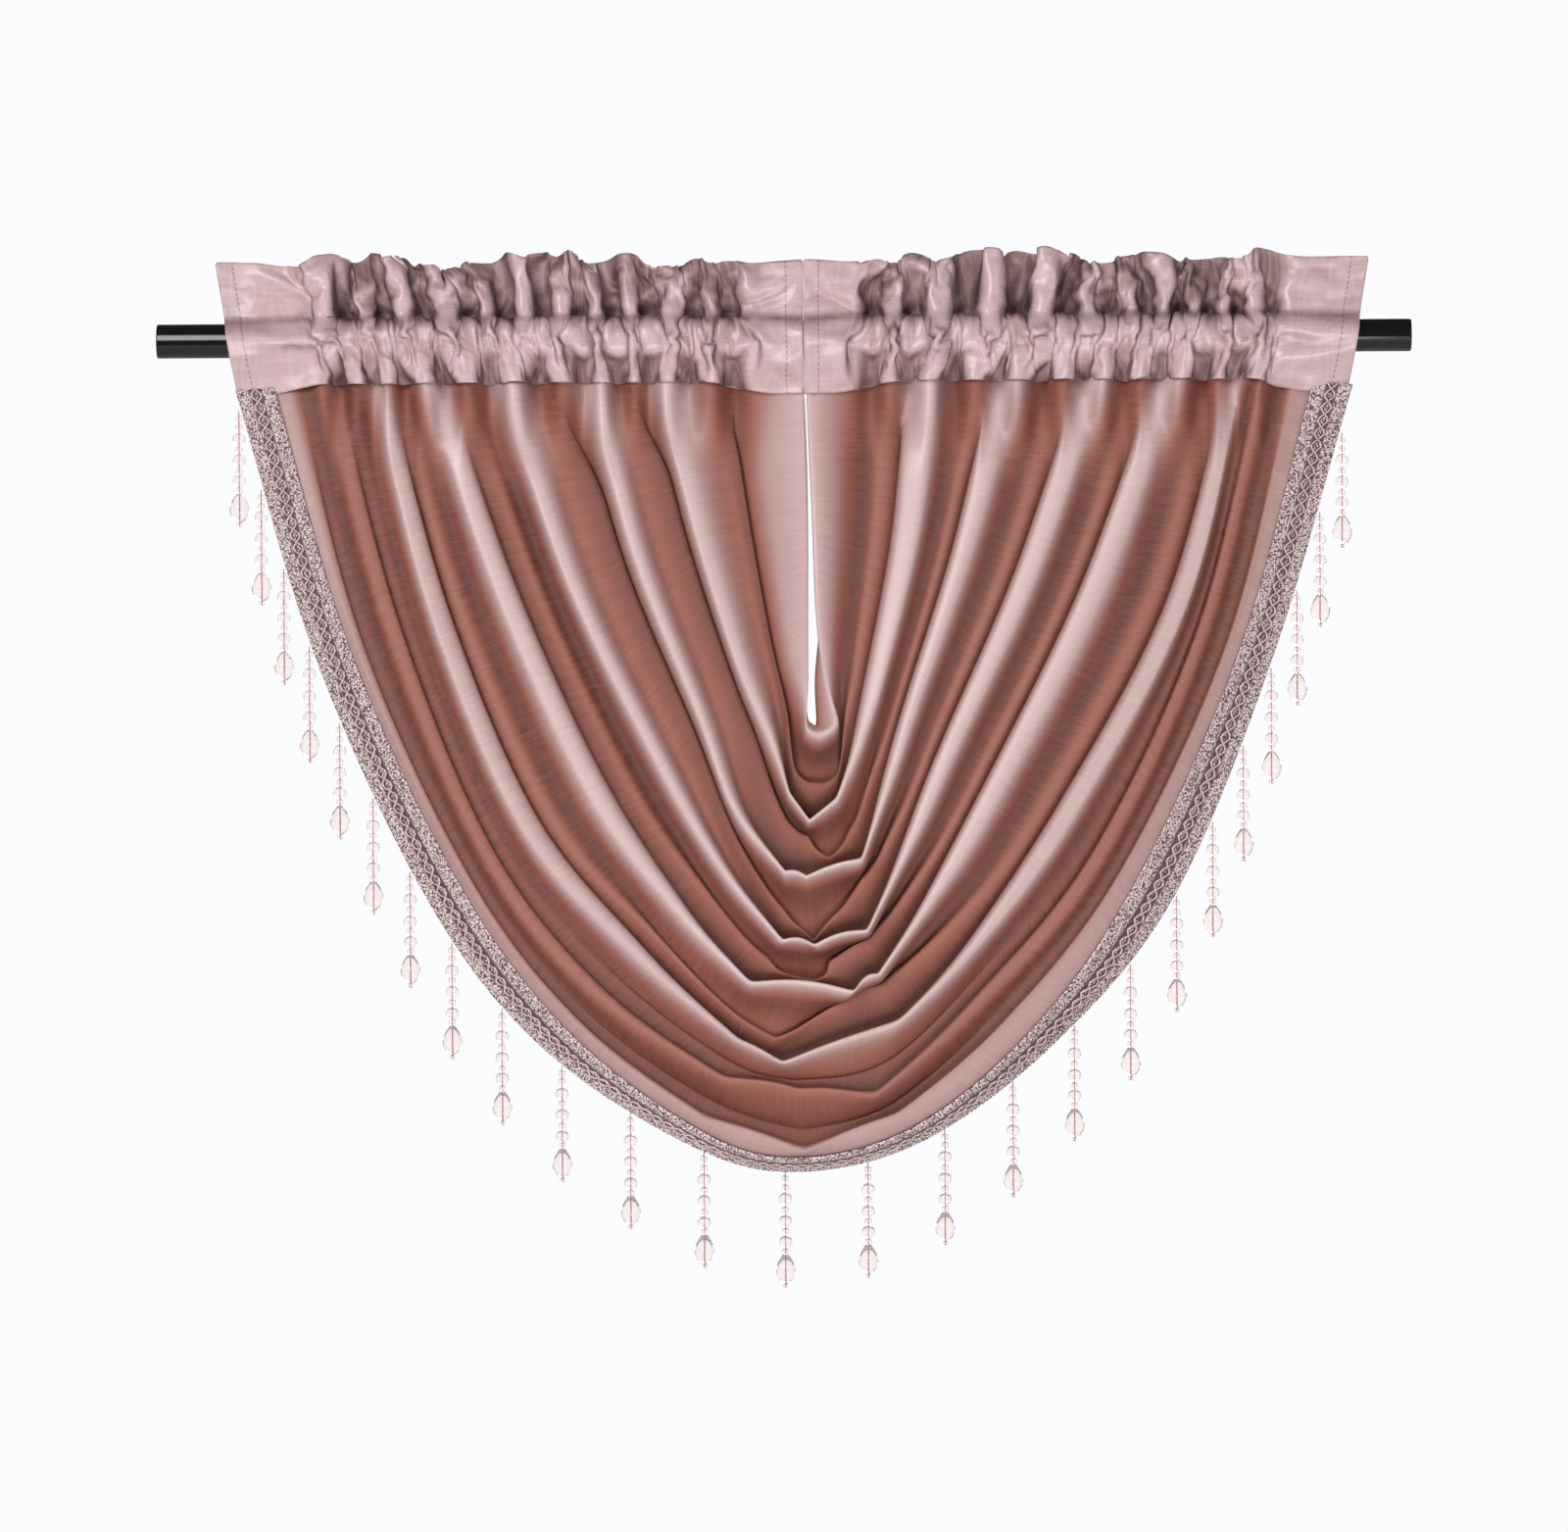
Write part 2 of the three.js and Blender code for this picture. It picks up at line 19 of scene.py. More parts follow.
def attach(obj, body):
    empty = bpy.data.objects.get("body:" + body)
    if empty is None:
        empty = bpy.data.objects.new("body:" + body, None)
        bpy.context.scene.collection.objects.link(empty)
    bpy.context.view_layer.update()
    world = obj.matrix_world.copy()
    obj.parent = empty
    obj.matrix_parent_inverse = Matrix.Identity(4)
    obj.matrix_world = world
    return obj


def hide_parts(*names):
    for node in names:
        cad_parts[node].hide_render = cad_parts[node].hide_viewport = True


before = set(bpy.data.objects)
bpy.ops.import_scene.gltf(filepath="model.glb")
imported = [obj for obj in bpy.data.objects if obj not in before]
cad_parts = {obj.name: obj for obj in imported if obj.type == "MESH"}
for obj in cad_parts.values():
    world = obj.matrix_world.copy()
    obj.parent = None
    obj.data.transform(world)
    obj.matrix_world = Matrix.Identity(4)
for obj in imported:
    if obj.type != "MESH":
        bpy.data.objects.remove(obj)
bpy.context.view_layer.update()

MM = 0.001


# %% [markdown]
# ## Small helpers
#
# Each piece starts as a bmesh. Once its shape is right it becomes an object at the origin, because a
# pattern that reads Object coordinates would slide if the object itself were moved. `mix` and `smooth`
# are the two blends that the cloth's shape is built from. A sheet of cloth is modelled without
# thickness, and `thicken` gives it one: half to each side, with a lined sheet's second material behind.

# %% Helpers
def mix(a, b, share):
    return a + (b - a) * share


def smooth(value, low, high):
    t = min(max((value - low) / (high - low), 0.0), 1.0)
    return t * t * (3 - 2 * t)


def as_mesh(bm, name):
    mesh = bpy.data.meshes.new(name)
    bm.to_mesh(mesh)
    bm.free()
    return mesh


def piece_from(bm, name, materials):
    """A finished, smoothly shaded object from a bmesh, riding on the one body."""
    mesh = as_mesh(bm, name)
    for material in materials:
        mesh.materials.append(material)
    mesh.polygons.foreach_set("use_smooth", [True] * len(mesh.polygons))
    piece = bpy.data.objects.new(name, mesh)
    bpy.context.scene.collection.objects.link(piece)
    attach(piece, "root")
    return piece


def thicken(piece, thickness):
    solid = piece.modifiers.new("thickness", "SOLIDIFY")
    solid.thickness = thickness
    solid.offset = 0
    solid.material_offset = len(piece.data.materials) - 1


# %% [markdown]
# ## Finishes
#
# The satin is a changeable cloth, mauve and copper brown, and where each shows is painted: mauve on the
# crests and copper brown in the folds, standing in for how the cloth catches the light, with painted shade
# deep in a fold and a painted highlight along a crest. Each piece of cloth carries an attribute of painted
# light and shade, from 0 deep in a fold to 1 on a crest, that picks its colour, and a UV map in metres
# along the threads. Three patterns lie on it: fine streaks along the weft, the watered sheen of pressed
# satin, and the stitches of a hem. Each is a node group with named inputs, so that every satin here can
# take it with its own values.

# %% Node helpers
def srgb(red, green, blue):
    """A colour from its 0-255 values, as the linear numbers that a shader takes."""
    def linear(value):
        value /= 255
        return value / 12.92 if value <= 0.04045 else ((value + 0.055) / 1.055) ** 2.4
    return (linear(red), linear(green), linear(blue), 1.0)


def new_group(name, inputs, outputs):
    """An empty shader group with named sockets. inputs holds (name, type, default)."""
    group = bpy.data.node_groups.new(name, "ShaderNodeTree")
    for socket, kind, default in inputs:
        made = group.interface.new_socket(socket, in_out="INPUT", socket_type="NodeSocket" + kind)
        if default is not None:
            made.default_value = default
    for socket, kind in outputs:
        group.interface.new_socket(socket, in_out="OUTPUT", socket_type="NodeSocket" + kind)
    ends = group.nodes.new("NodeGroupInput"), group.nodes.new("NodeGroupOutput")
    return group, ends[0].outputs, ends[1].inputs


def add_node(tree, kind, links=(), **settings):
    """A node of one kind. links pairs an input socket's name or number with what feeds it."""
    node = tree.nodes.new("ShaderNode" + kind)
    for name, value in settings.items():
        setattr(node, name, value)
    for socket, source in links:
        if isinstance(source, bpy.types.NodeSocket):
            tree.links.new(source, node.inputs[socket])
        else:
            node.inputs[socket].default_value = source
    return node


# %% The cloth's patterns
WATER_STRETCH = (2.2, 0.8, 1)
HEM_STITCH_IN = 0.011
STITCH_HALF_WIDTH = 0.0006
STITCH_PITCH = 0.0035
STITCH_GAP = 0.14


def weft_streak_group():
    """Streaks of uneven yarn along the weft: a mask from 0 to 1 and a height for bump."""
    group, given, out = new_group("Weft streaks",
        [("Vector", "Vector", None), ("Across", "Float", 60.0), ("Along", "Float", 1300.0)],
        [("Mask", "Float"), ("Height", "Float")])
    scale = add_node(group, "CombineXYZ", [("X", given["Across"]), ("Y", given["Along"])])
    stretched = add_node(group, "VectorMath", [(0, given["Vector"]), (1, scale.outputs[0])],
        operation="MULTIPLY")
    yarn = add_node(group, "TexNoise", [("Vector", stretched.outputs[0]), ("Scale", 1.0), ("Detail", 2.0)])
    slubs = add_node(group, "TexNoise", [("Vector", stretched.outputs[0]), ("Scale", 0.35), ("Detail", 3.0)])
    both = add_node(group, "Mix", [("Factor", 0.35), ("A", yarn.outputs[0]), ("B", slubs.outputs[0])])
    spread = add_node(group, "MapRange", [("Value", both.outputs[0]), ("From Min", 0.36), ("From Max", 0.64)])
    group.links.new(spread.outputs[0], out["Mask"])
    group.links.new(both.outputs[0], out["Height"])
    return group


def watered_group():
    """The watered sheen of pressed satin: a mask of wavering contour bands."""
    group, given, out = new_group("Watered sheen", [("Vector", "Vector", None), ("Scale", "Float", 26.0),
        ("Bands", "Float", 7.0)], [("Mask", "Float")])
    upright = add_node(group, "VectorMath", [(0, given["Vector"]), (1, WATER_STRETCH)], operation="MULTIPLY")
    hills = add_node(group, "TexNoise", [("Vector", upright.outputs[0]), ("Scale", given["Scale"]),
        ("Detail", 0.5), ("Distortion", 0.6)])
    steps = add_node(group, "Math", [(0, hills.outputs[0]), (1, given["Bands"])], operation="MULTIPLY")
    bands = add_node(group, "Math", [(0, steps.outputs[0]), (1, 0.5)], operation="PINGPONG")
    spread = add_node(group, "MapRange", [("Value", bands.outputs[0]), ("From Min", 0.12), ("From Max", 0.5)],
        interpolation_type="SMOOTHSTEP")
    group.links.new(spread.outputs[0], out["Mask"])
    return group


def hem_stitch_group():
    """A dashed line of stitches near a strip's ends, as a mask. An end is at each multiple of Length."""
    group, given, out = new_group("Hem stitches", [("Vector", "Vector", None), ("Length", "Float", 0.667)],
        [("Mask", "Float")])
    place = add_node(group, "SeparateXYZ", [("Vector", given["Vector"])])
    share = add_node(group, "Math", [(0, place.outputs["X"]), (1, given["Length"])], operation="DIVIDE")
    to_end = add_node(group, "Math", [(0, share.outputs[0]), (1, 0.5)], operation="PINGPONG")
    metres = add_node(group, "Math", [(0, to_end.outputs[0]), (1, given["Length"])], operation="MULTIPLY")
    line = add_node(group, "Math", [(0, metres.outputs[0]), (1, HEM_STITCH_IN), (2, STITCH_HALF_WIDTH)],
        operation="COMPARE")
    step = add_node(group, "Math", [(0, place.outputs["Y"]), (1, 1 / STITCH_PITCH)], operation="MULTIPLY")
    dash = add_node(group, "Math", [(0, step.outputs[0]), (1, 0.5)], operation="PINGPONG")
    gap = add_node(group, "Math", [(0, dash.outputs[0]), (1, STITCH_GAP)], operation="GREATER_THAN")
    both = add_node(group, "Math", [(0, line.outputs[0]), (1, gap.outputs[0])], operation="MULTIPLY")
    group.links.new(both.outputs[0], out["Mask"])
    return group


WEFT = weft_streak_group()
STITCHES = hem_stitch_group()
WATERED = watered_group()
print("patterns:", [group.name for group in (WEFT, STITCHES, WATERED)])


def new_material(name, roughness, **shader_values):
    """A material with its Principled shader, and plain values on the shader's own sockets."""
    material = bpy.data.materials.new(name)
    material.use_nodes = True
    shader = material.node_tree.nodes["Principled BSDF"]
    shader.inputs["Roughness"].default_value = roughness
    for socket, value in shader_values.items():
        shader.inputs[socket.replace("_", " ")].default_value = value
    return material, material.node_tree, shader


# %% [markdown]
# ### Satin, right side
#
# An attribute of painted light and shade runs from painted shade inside a fold through copper brown to
# mauve, and on to a painted highlight on a crest. It is disturbed by the weft streaks before it picks a
# colour, so that the change from mauve to copper is ragged, as it is on real shot satin. The same streaks
# roughen the gloss and raise the yarns a little, and a fold is duller than a crest. The wrong side is a
# paler satin of the same kind, with the same painted light and shade.

# %% Satin materials
COLOUR_A, COLOUR_B, COLOUR_OUT = 6, 7, 2  # a colour Mix node's sockets
FOLD_TONE, TURN_TONE = 0.25, 0.65
RAGGED = 0.05
DULL = 0.64
WATERED_LIGHT = srgb(226, 206, 208)


def satin_material(name, crest_highlight, turn, fold, shade, glossy, watered=0.0, hem_stitches=0.0):
    """Its four colours run from the crest's, mauve with a painted highlight, through the turn's and the
    fold's copper brown to painted shade deep in a fold; glossy is the roughness on a crest.
    """
    material, tree, shader = new_material(name, glossy, Sheen_Weight=0.06, Sheen_Roughness=0.4)
    uv = add_node(tree, "UVMap", uv_map="cloth")
    # painted light and shade: 0 is painted shade deep in a fold, 1 a painted highlight on a crest
    tone = add_node(tree, "Attribute", attribute_name="tone")
    weft = add_node(tree, "Group", node_tree=WEFT)
    tree.links.new(uv.outputs[0], weft.inputs["Vector"])
    nudge = add_node(tree, "MapRange", [("Value", weft.outputs["Mask"]), ("To Min", -RAGGED),
        ("To Max", RAGGED)])
    ragged = add_node(tree, "Math", [(0, tone.outputs["Fac"]), (1, nudge.outputs[0])], operation="ADD",
        use_clamp=True)
    colour = add_node(tree, "ValToRGB", [("Fac", ragged.outputs[0])])
    ramp = colour.color_ramp
    # the ramp runs from painted shade through copper brown and mauve to the crest's painted highlight
    ramp.elements[0].position = 0
    ramp.elements[0].color = shade
    ramp.elements[1].position = 1
    ramp.elements[1].color = crest_highlight
    ramp.elements.new(FOLD_TONE).color = fold
    ramp.elements.new(TURN_TONE).color = turn
    sheen = add_node(tree, "Group", node_tree=WATERED)
    tree.links.new(uv.outputs[0], sheen.inputs["Vector"])
    amount = add_node(tree, "Math", [(0, sheen.outputs["Mask"]), (1, watered)], operation="MULTIPLY")
    lit = add_node(tree, "Mix", [("Factor", amount.outputs[0])], data_type="RGBA")
    tree.links.new(colour.outputs[0], lit.inputs[COLOUR_A])
    lit.inputs[COLOUR_B].default_value = WATERED_LIGHT
    stitches = add_node(tree, "Group", node_tree=STITCHES)
    tree.links.new(uv.outputs[0], stitches.inputs["Vector"])
    sewn = add_node(tree, "Math", [(0, stitches.outputs["Mask"]), (1, hem_stitches)], operation="MULTIPLY")
    marked = add_node(tree, "Mix", [("Factor", sewn.outputs[0])], data_type="RGBA")
    tree.links.new(lit.outputs[COLOUR_OUT], marked.inputs[COLOUR_A])
    marked.inputs[COLOUR_B].default_value = shade
    tree.links.new(marked.outputs[COLOUR_OUT], shader.inputs["Base Color"])
    dull = add_node(tree, "MapRange", [("Value", ragged.outputs[0]), ("From Min", FOLD_TONE),
        ("From Max", 0.8), ("To Min", DULL), ("To Max", glossy)])
    uneven = add_node(tree, "MapRange", [("Value", weft.outputs["Mask"]), ("To Min", -0.06),
        ("To Max", 0.08)])
    gloss = add_node(tree, "Math", [(0, dull.outputs[0]), (1, uneven.outputs[0])], operation="ADD")
    tree.links.new(gloss.outputs[0], shader.inputs["Roughness"])
    bump = add_node(tree, "Bump", [("Height", weft.outputs["Height"]), ("Strength", 0.5),
        ("Distance", 0.0004)])
    tree.links.new(bump.outputs[0], shader.inputs["Normal"])
    return material


# each satin's colours: the crest's with its painted highlight, the turn's, the fold's and its painted shade
SATIN = satin_material("satin_right_side", srgb(204, 176, 175), srgb(171, 137, 134), srgb(145, 86, 71),
    srgb(72, 34, 26), 0.34)
HEADING_SATIN = satin_material("heading_satin", srgb(196, 167, 169), srgb(164, 133, 134),
    srgb(112, 80, 79), srgb(54, 30, 30), 0.23, watered=0.14, hem_stitches=0.4)
SATIN_BACK = satin_material("satin_wrong_side", srgb(182, 166, 158), srgb(176, 158, 150),
    srgb(160, 138, 128), srgb(120, 98, 90), 0.55)


# %% [markdown]
# ## The swag
#
# One piece of satin falls from both headings and turns the corner under the slit. Eleven lines, the
# ridges, run through it, from the slit's hem to the braid's outer edge, and seven folds lie between
# them. Each line runs through named stations: down the left arm, round the bottom and up the right arm.
# Between two ridges the cloth follows a cross-section that changes from station to station. A grid is
# laid over those lines, so the folds stay one sheet. A cloth simulation would not fall in these very
# folds, so the shape is given in the tables below.

# %% The swag's lines, in millimetres
# kink is 1 where a ridge breaks at its corners and 0 where it is round, bow lifts it between them,
# reach is how far it stands into the room, and the last is its painted light and shade, between the
# fold's copper and the crest's painted highlight.
RIDGE_COLUMNS = ("leftTopX leftHighX leftLowX leftDeepX leftCornerX leftCornerZ lowestX lowestZ "
    "rightCornerX rightCornerZ rightDeepX rightLowX rightHighX rightTopX kink bow reach tone").split()
RIDGES = [
    (3, 4, 5, 6, 8, -246, 11, -251, 14, -250, 13.4, 17, 18, 14, 0.1, 0, 24, 0.6),
    (7, 8.5, 8.5, 8.5, 7.5, -254, 17, -259, 28, -250, 20.5, 14.5, 12, 9, 0.3, 0, 30, 0.9),
    (-85, -62, -36, -15, -4, -296, 9, -314, 27, -300, 41, 57, 77, 88, 1, 0, 41, 1),
    (-130, -101, -61, -39, -7, -347, 7, -350, 43, -339, 57, 76, 110, 140, 1, 2, 51, 1),
    (-187, -144, -87, -47, -9, -391, 12, -394, 46, -385, 69, 99, 152, 198, 1, 3, 57, 1),
    (-237, -187, -130, -78, -30, -418, 37, -424, 53, -413, 88, 131, 194, 246, 1, 4, 61, 1),
    (-271, -232, -174, -102, -38, -454, -9, -469, 66, -443, 120, 178, 252, 292, 0.8, 2, 62, 0.9),
    (-304, -260, -200, -133, -48, -479, 2, -487, 50, -491, 118, 194, 264, 307, 0.7, 3, 60, 0.3),
    (-329, -283, -212, -143, -60, -505, 5, -527, 66, -503, 140, 211, 284, 329, 0.5, 4, 54, 0.6),
    (-337, -286, -214, -146, -64, -510, -2, -529, 74, -510, 151, 217, 288, 338, 0, 0, 50, 0.65),
    (-362, -309, -237, -166, -72, -519, -2, -538, 80, -519, 167, 244, 310, 364, 0, 0, 27, 0.65),
]
ridges = [dict(zip(RIDGE_COLUMNS, row)) for row in RIDGES]
HEM, RIM, LAST_RIDGE, BRAID_INNER, BRAID_OUTER = 0, 1, 8, 9, 10
ARM_DROPS = (0.36, 0.68, 0.87)

# lip is 1 where the left arm's outer cloth laps over the ridge, tuck closes the fold at the bottom, and
# the creases say where the brown band's edge lies between the two ridges.
FOLD_COLUMNS = ("leftDepth bottomDepth rightDepth lip tuck leftArmCrease leftCrease apex apexCrease "
    "lowestCrease rightCrease rightArmCrease").split()
FOLDS = [
    (14, 26, 14, 1, 1, 0.52, 0.62, 5.0, 0.52, 0.52, 0.66, 0.36),
    (15, 24, 15, 1, 1, 0.2, 0.34, 5.45, 0.79, 0.26, 0.47, 0.3),
    (16, 25, 15, 1, 1, 0.2, 0.51, 5.0, 0.92, 0.92, 0.2, 0.3),
    (15, 24, 16, 0.3, 1, 0.22, 0.38, 4.6, 0.9, 0.34, 0.12, 0.3),
    (14, 23, 16, 0, 0.95, 0.3, 0.61, 4.6, 0.72, 0.08, 0.13, 0.3),
    (9, 14, 10, 0, 0.5, 0.3, 0.5, 5.0, 0.7, 0.7, 0.5, 0.3),
    (6, 16, 6, 0, 0.4, 0.3, 0.5, 5.0, 0.7, 0.7, 0.5, 0.3),
]
folds = [dict(zip(FOLD_COLUMNS, row)) for row in FOLDS]

# share of the way to the next ridge, how far it follows the crease, share of the fold's depth, and the
# painted light and shade: low for painted shade inside a fold, high for a painted highlight
SECTIONS = {
    "seam": [(0.14, 0, 0.2, 0.75), (0.28, 0, 0.7, 0.4), (0.42, 0, 1, 0.2), (0.56, 0, 0.9, 0.2),
        (0.7, 0, 0.7, 0.3), (0.86, 0, 0.2, 0.75)],
    "lapped": [(0, 0.66, 0.16, 0.56), (0.07, 1, 0.95, 0.05), (0.2, 1, 0.95, 0), (0, 1, 0.3, 0.08),
        (0.66, 0, 0.62, 0.26), (0.83, 0, 0.24, 0.5)],
    "tucked": [(0, 0.58, 0.1, 0.6), (0, 1.1, 0.7, 0.15), (0.18, 1, 0.76, 0.08), (0.66, 0, 0.55, 0.32),
        (0.9, 0, 0.92, 0.05), (0.8, 0, 0.22, 0.5)],
    "bottom": [(0.15, 0.08, 0.42, 0.1), (0, 1, 1, 0.3), (0.16, 1, 0.98, 0), (0, 1, 0.5, 0.27),
        (1.1, 0, 0.95, 0.05), (1, 0, 0.26, 0.8)],
    "shallow": [(0.18, 0, 0.1, 0.9), (0.32, 0, 0.6, 0.5), (0.46, 0, 1, 0.25), (0.62, 0, 0.95, 0.22),
        (0.76, 0, 0.5, 0.4), (0.88, 0, 0.1, 0.9)],
}

STATIONS = 10
CORNER = 4
SWELL = (0, 0.38, 0.7, 0.88, 1, 1, 1, 0.88, 0.7, 0.38, 0)
SEAM_Z = -28.4
SEAM_DIP = 8
SEAM_ALLOWANCE = 4
HEADING_MEET_X = 7
GAP = 0.3
SEAM_REACH = 2
SEAM_FOLD = 3
SEAM_BLEND = 0.7
ARM_ENDS = 2.2
BOTTOM_STARTS = 4.4
ARM_TUCK = 1.4
CREASE_BLEND = 1.5
MIDDLE_UNGATHERED = (15, 70)
ENDS_UNGATHERED = (300, 350)
CLOTH = 1.2
# painted light and shade at the slit's edge, painted darker there as shade, at the rim and under the braid
HEM_SHADE, RIM_TONE, BRAID_TONE = 0.15, 0.6, 0.65
BRAID_MIDDLE = 0.6


# %% From the lines to a surface
def through(values, station):
    """A value that runs smoothly through evenly spaced stations."""
    last = len(values) - 1
    i = min(int(station), last - 1)
    t = station - i
    before = values[max(i - 1, 0)]
    after = values[min(i + 2, last)]
    start_slope = (values[i + 1] - before) * (0.5 if i > 0 else 1)
    end_slope = (after - values[i]) * (0.5 if i + 2 <= last else 1)
    t2, t3 = t * t, t * t * t
    return ((2 * t3 - 3 * t2 + 1) * values[i] + (t3 - 2 * t2 + t) * start_slope
        + (3 * t2 - 2 * t3) * values[i + 1] + (t3 - t2) * end_slope)


def through_corners(values, station):
    """The same, but broken at the corners and straight across the bottom."""
    middle, right = CORNER + 1, CORNER + 2
    if station <= CORNER:
        return through(values[:middle], station)
    if station >= right:
        return through(values[right:], station - right)
    if station < middle:
        return mix(values[CORNER], values[middle], station - CORNER)
    return mix(values[middle], values[right], station - middle)


def ridge_point(index, station, sharpness=1):
    """A point on a ridge. sharpness is how much of its kink is kept: away from the ridge it fades."""
    r = ridges[index]
    kink = r["kink"] * sharpness
    xs = [r[name] for name in ("leftTopX", "leftHighX", "leftLowX", "leftDeepX", "leftCornerX", "lowestX",
        "rightCornerX", "rightDeepX", "rightLowX", "rightHighX", "rightTopX")]
    left_top, right_top = seam_z(r["leftTopX"]) + SEAM_ALLOWANCE, seam_z(r["rightTopX"]) + SEAM_ALLOWANCE
    left = [mix(left_top, r["leftCornerZ"], drop) for drop in ARM_DROPS]
    right = [mix(right_top, r["rightCornerZ"], drop) for drop in reversed(ARM_DROPS)]
    zs = [left_top, *left, r["leftCornerZ"], r["lowestZ"], r["rightCornerZ"], *right, right_top]
    x, z = (mix(through(values, station), through_corners(values, station), kink) for values in (xs, zs))
    if CORNER < station < CORNER + 2:
        z += r["bow"] * sharpness * abs(math.sin(math.pi * (station - CORNER)))
    return Vector((x, -mix(SEAM_REACH, r["reach"], through(SWELL, station)), z))


def seam_z(x):
    """Height of the seam: it dips where the cloth above it is not gathered."""
    middle = 1 - smooth(abs(x - HEADING_MEET_X), *MIDDLE_UNGATHERED)
    return SEAM_Z - SEAM_DIP * max(middle, smooth(abs(x), *ENDS_UNGATHERED))


def mix_sections(a, b, share):
    return [tuple(mix(p, q, share) for p, q in zip(row, other)) for row, other in zip(a, b)]


def crease_share(fold, station):
    """Where the brown band's edge lies across the fold: it runs to a point at the bottom."""
    left, right = CORNER, CORNER + 2
    if station <= left:
        return mix(fold["leftArmCrease"], fold["leftCrease"], smooth(station, left - CREASE_BLEND, left))
    if station >= right:
        return mix(fold["rightCrease"], fold["rightArmCrease"], smooth(station, right, right + CREASE_BLEND))
    known = {left: fold["leftCrease"], left + 1: fold["lowestCrease"], right: fold["rightCrease"],
        fold["apex"]: fold["apexCrease"]}
    before = max(place for place in known if place <= station)
    after = min(place for place in known if place > station)
    return mix(known[before], known[after], (station - before) / (after - before))


def fold_section(fold, station):
    """One fold's cross-section at a station, as (share of the way across, depth, painted light and shade)."""
    on_left = station < STATIONS / 2
    from_seam = min(station, STATIONS - station)
    arm = SECTIONS["tucked"]
    if on_left:
        arm = mix_sections(arm, SECTIONS["lapped"], fold["lip"])
    bottom = mix_sections(SECTIONS["shallow"], SECTIONS["bottom"], fold["tuck"])
    softened = mix_sections(SECTIONS["shallow"], arm, min(1, fold["tuck"] * ARM_TUCK))
    opened = mix_sections(softened, bottom, smooth(from_seam, ARM_ENDS, BOTTOM_STARTS))
    section = mix_sections(SECTIONS["seam"], opened, smooth(from_seam, 0, SEAM_BLEND))
    arm_depth = fold["leftDepth"] if on_left else fold["rightDepth"]
    depth = mix(SEAM_FOLD, arm_depth, smooth(from_seam, 0, SEAM_BLEND))
    depth = mix(depth, fold["bottomDepth"], smooth(from_seam, ARM_ENDS, CORNER))
    crease = crease_share(fold, station)
    return [(share + follow * crease, deep * depth, tone) for share, follow, deep, tone in section]


def cloth_across(station):
    """The swag's section points at one station, as (x, y, z, painted light and shade)."""
    hem, rim = ridge_point(HEM, station), ridge_point(RIM, station)
    points = [(*hem, HEM_SHADE), (*hem.lerp(rim, 0.5), RIM_TONE)]
    for k, fold in enumerate(folds):
        near, far = k + RIM, k + RIM + 1
        points.append((*ridge_point(near, station), ridges[near]["tone"]))
        for share, depth, tone in fold_section(fold, station):
            sharpness = min(1, abs(2 * share - 1))
            place = ridge_point(near, station, sharpness).lerp(ridge_point(far, station, sharpness), share)
            # each point's painted light and shade is scaled by that of its two ridges
            tone *= mix(ridges[near]["tone"], ridges[far]["tone"], min(share, 1))
            points.append((place.x, place.y + depth, place.z, tone))
    inner, outer = ridge_point(BRAID_INNER, station), ridge_point(BRAID_OUTER, station)
    points.append((*ridge_point(LAST_RIDGE, station), ridges[LAST_RIDGE]["tone"]))
    return points + [(*place, BRAID_TONE) for place in (inner, inner.lerp(outer, BRAID_MIDDLE), outer)]


# %% [markdown]
# ## Cloth drawn up on its stitches
#
# The headings and the top of the swag share one seam. Between the headings' plain ends, cloth twice as
# wide as the finished heading is drawn up on it. The row is worked out once, seen from above, as a line
# that turns left and right by up to `PLEAT_ANGLE`, so that its own length stays the cloth's length.

# %% The drawn-up row
ROD_RADIUS = 11
STITCH_Z = 14.5
FRILL_TOP_Z = 51
HEADING_HALF_WIDTH = 375
HEADING_END_SLANT = 13
FLAT_INNER, FLAT_OUTER = 26, 42
FULLNESS = 2.0
PLEAT_ANGLE = 1.5
PLEAT_RANGES = {"seam": (38, 66), "stitches": (38, 76), "frill": (55, 95)}
FRILL_SHIFT = 0.3
GATHER_START = 25
DRIFT_FADE = 90
COLUMNS = 210
POCKET_ROWS = 16
FRILL_ROWS = 12
ROW_LENGTH = HEADING_HALF_WIDTH - HEADING_MEET_X - GAP
FLAT_LENGTH = FLAT_INNER + FLAT_OUTER + (ROW_LENGTH - FLAT_INNER - FLAT_OUTER) * FULLNESS
POCKET_HEIGHT = 58


def between_ends(place, fade):
    """1 along the gathered part of the cloth and 0 on its plain ends, with a fade between them."""
    outer = FLAT_LENGTH - FLAT_OUTER
    return smooth(place, FLAT_INNER, FLAT_INNER + fade) * (1 - smooth(place, outer - fade, outer))


def drawn_up_row(seed, pleat_range):
    """A row of stitches seen from above: for each column how far along it is and how far out."""
    pleats = random.Random(seed)
    step = FLAT_LENGTH / COLUMNS
    along, out, phase, pleat = 0.0, 0.0, math.pi / 2, sum(pleat_range) / 2
    row = [(along, out)]
    for i in range(COLUMNS):
        place = (i + 0.5) * step
        gathered = between_ends(place, GATHER_START)
        turn = PLEAT_ANGLE * gathered * math.cos(phase)
        along += math.cos(turn) * step
        out += math.sin(turn) * step
        row.append((along, out))
        phase += 2 * math.pi * step / pleat
        if phase > 2.5 * math.pi:
            phase -= 2 * math.pi
            pleat = pleats.uniform(*pleat_range)
    length, drift = row[-1]
    outer = FLAT_LENGTH - FLAT_OUTER
    fades = [smooth(i * step, outer - DRIFT_FADE, outer) for i in range(COLUMNS + 1)]
    return [(along * ROW_LENGTH / length, out - drift * fade) for (along, out), fade in zip(row, fades)]


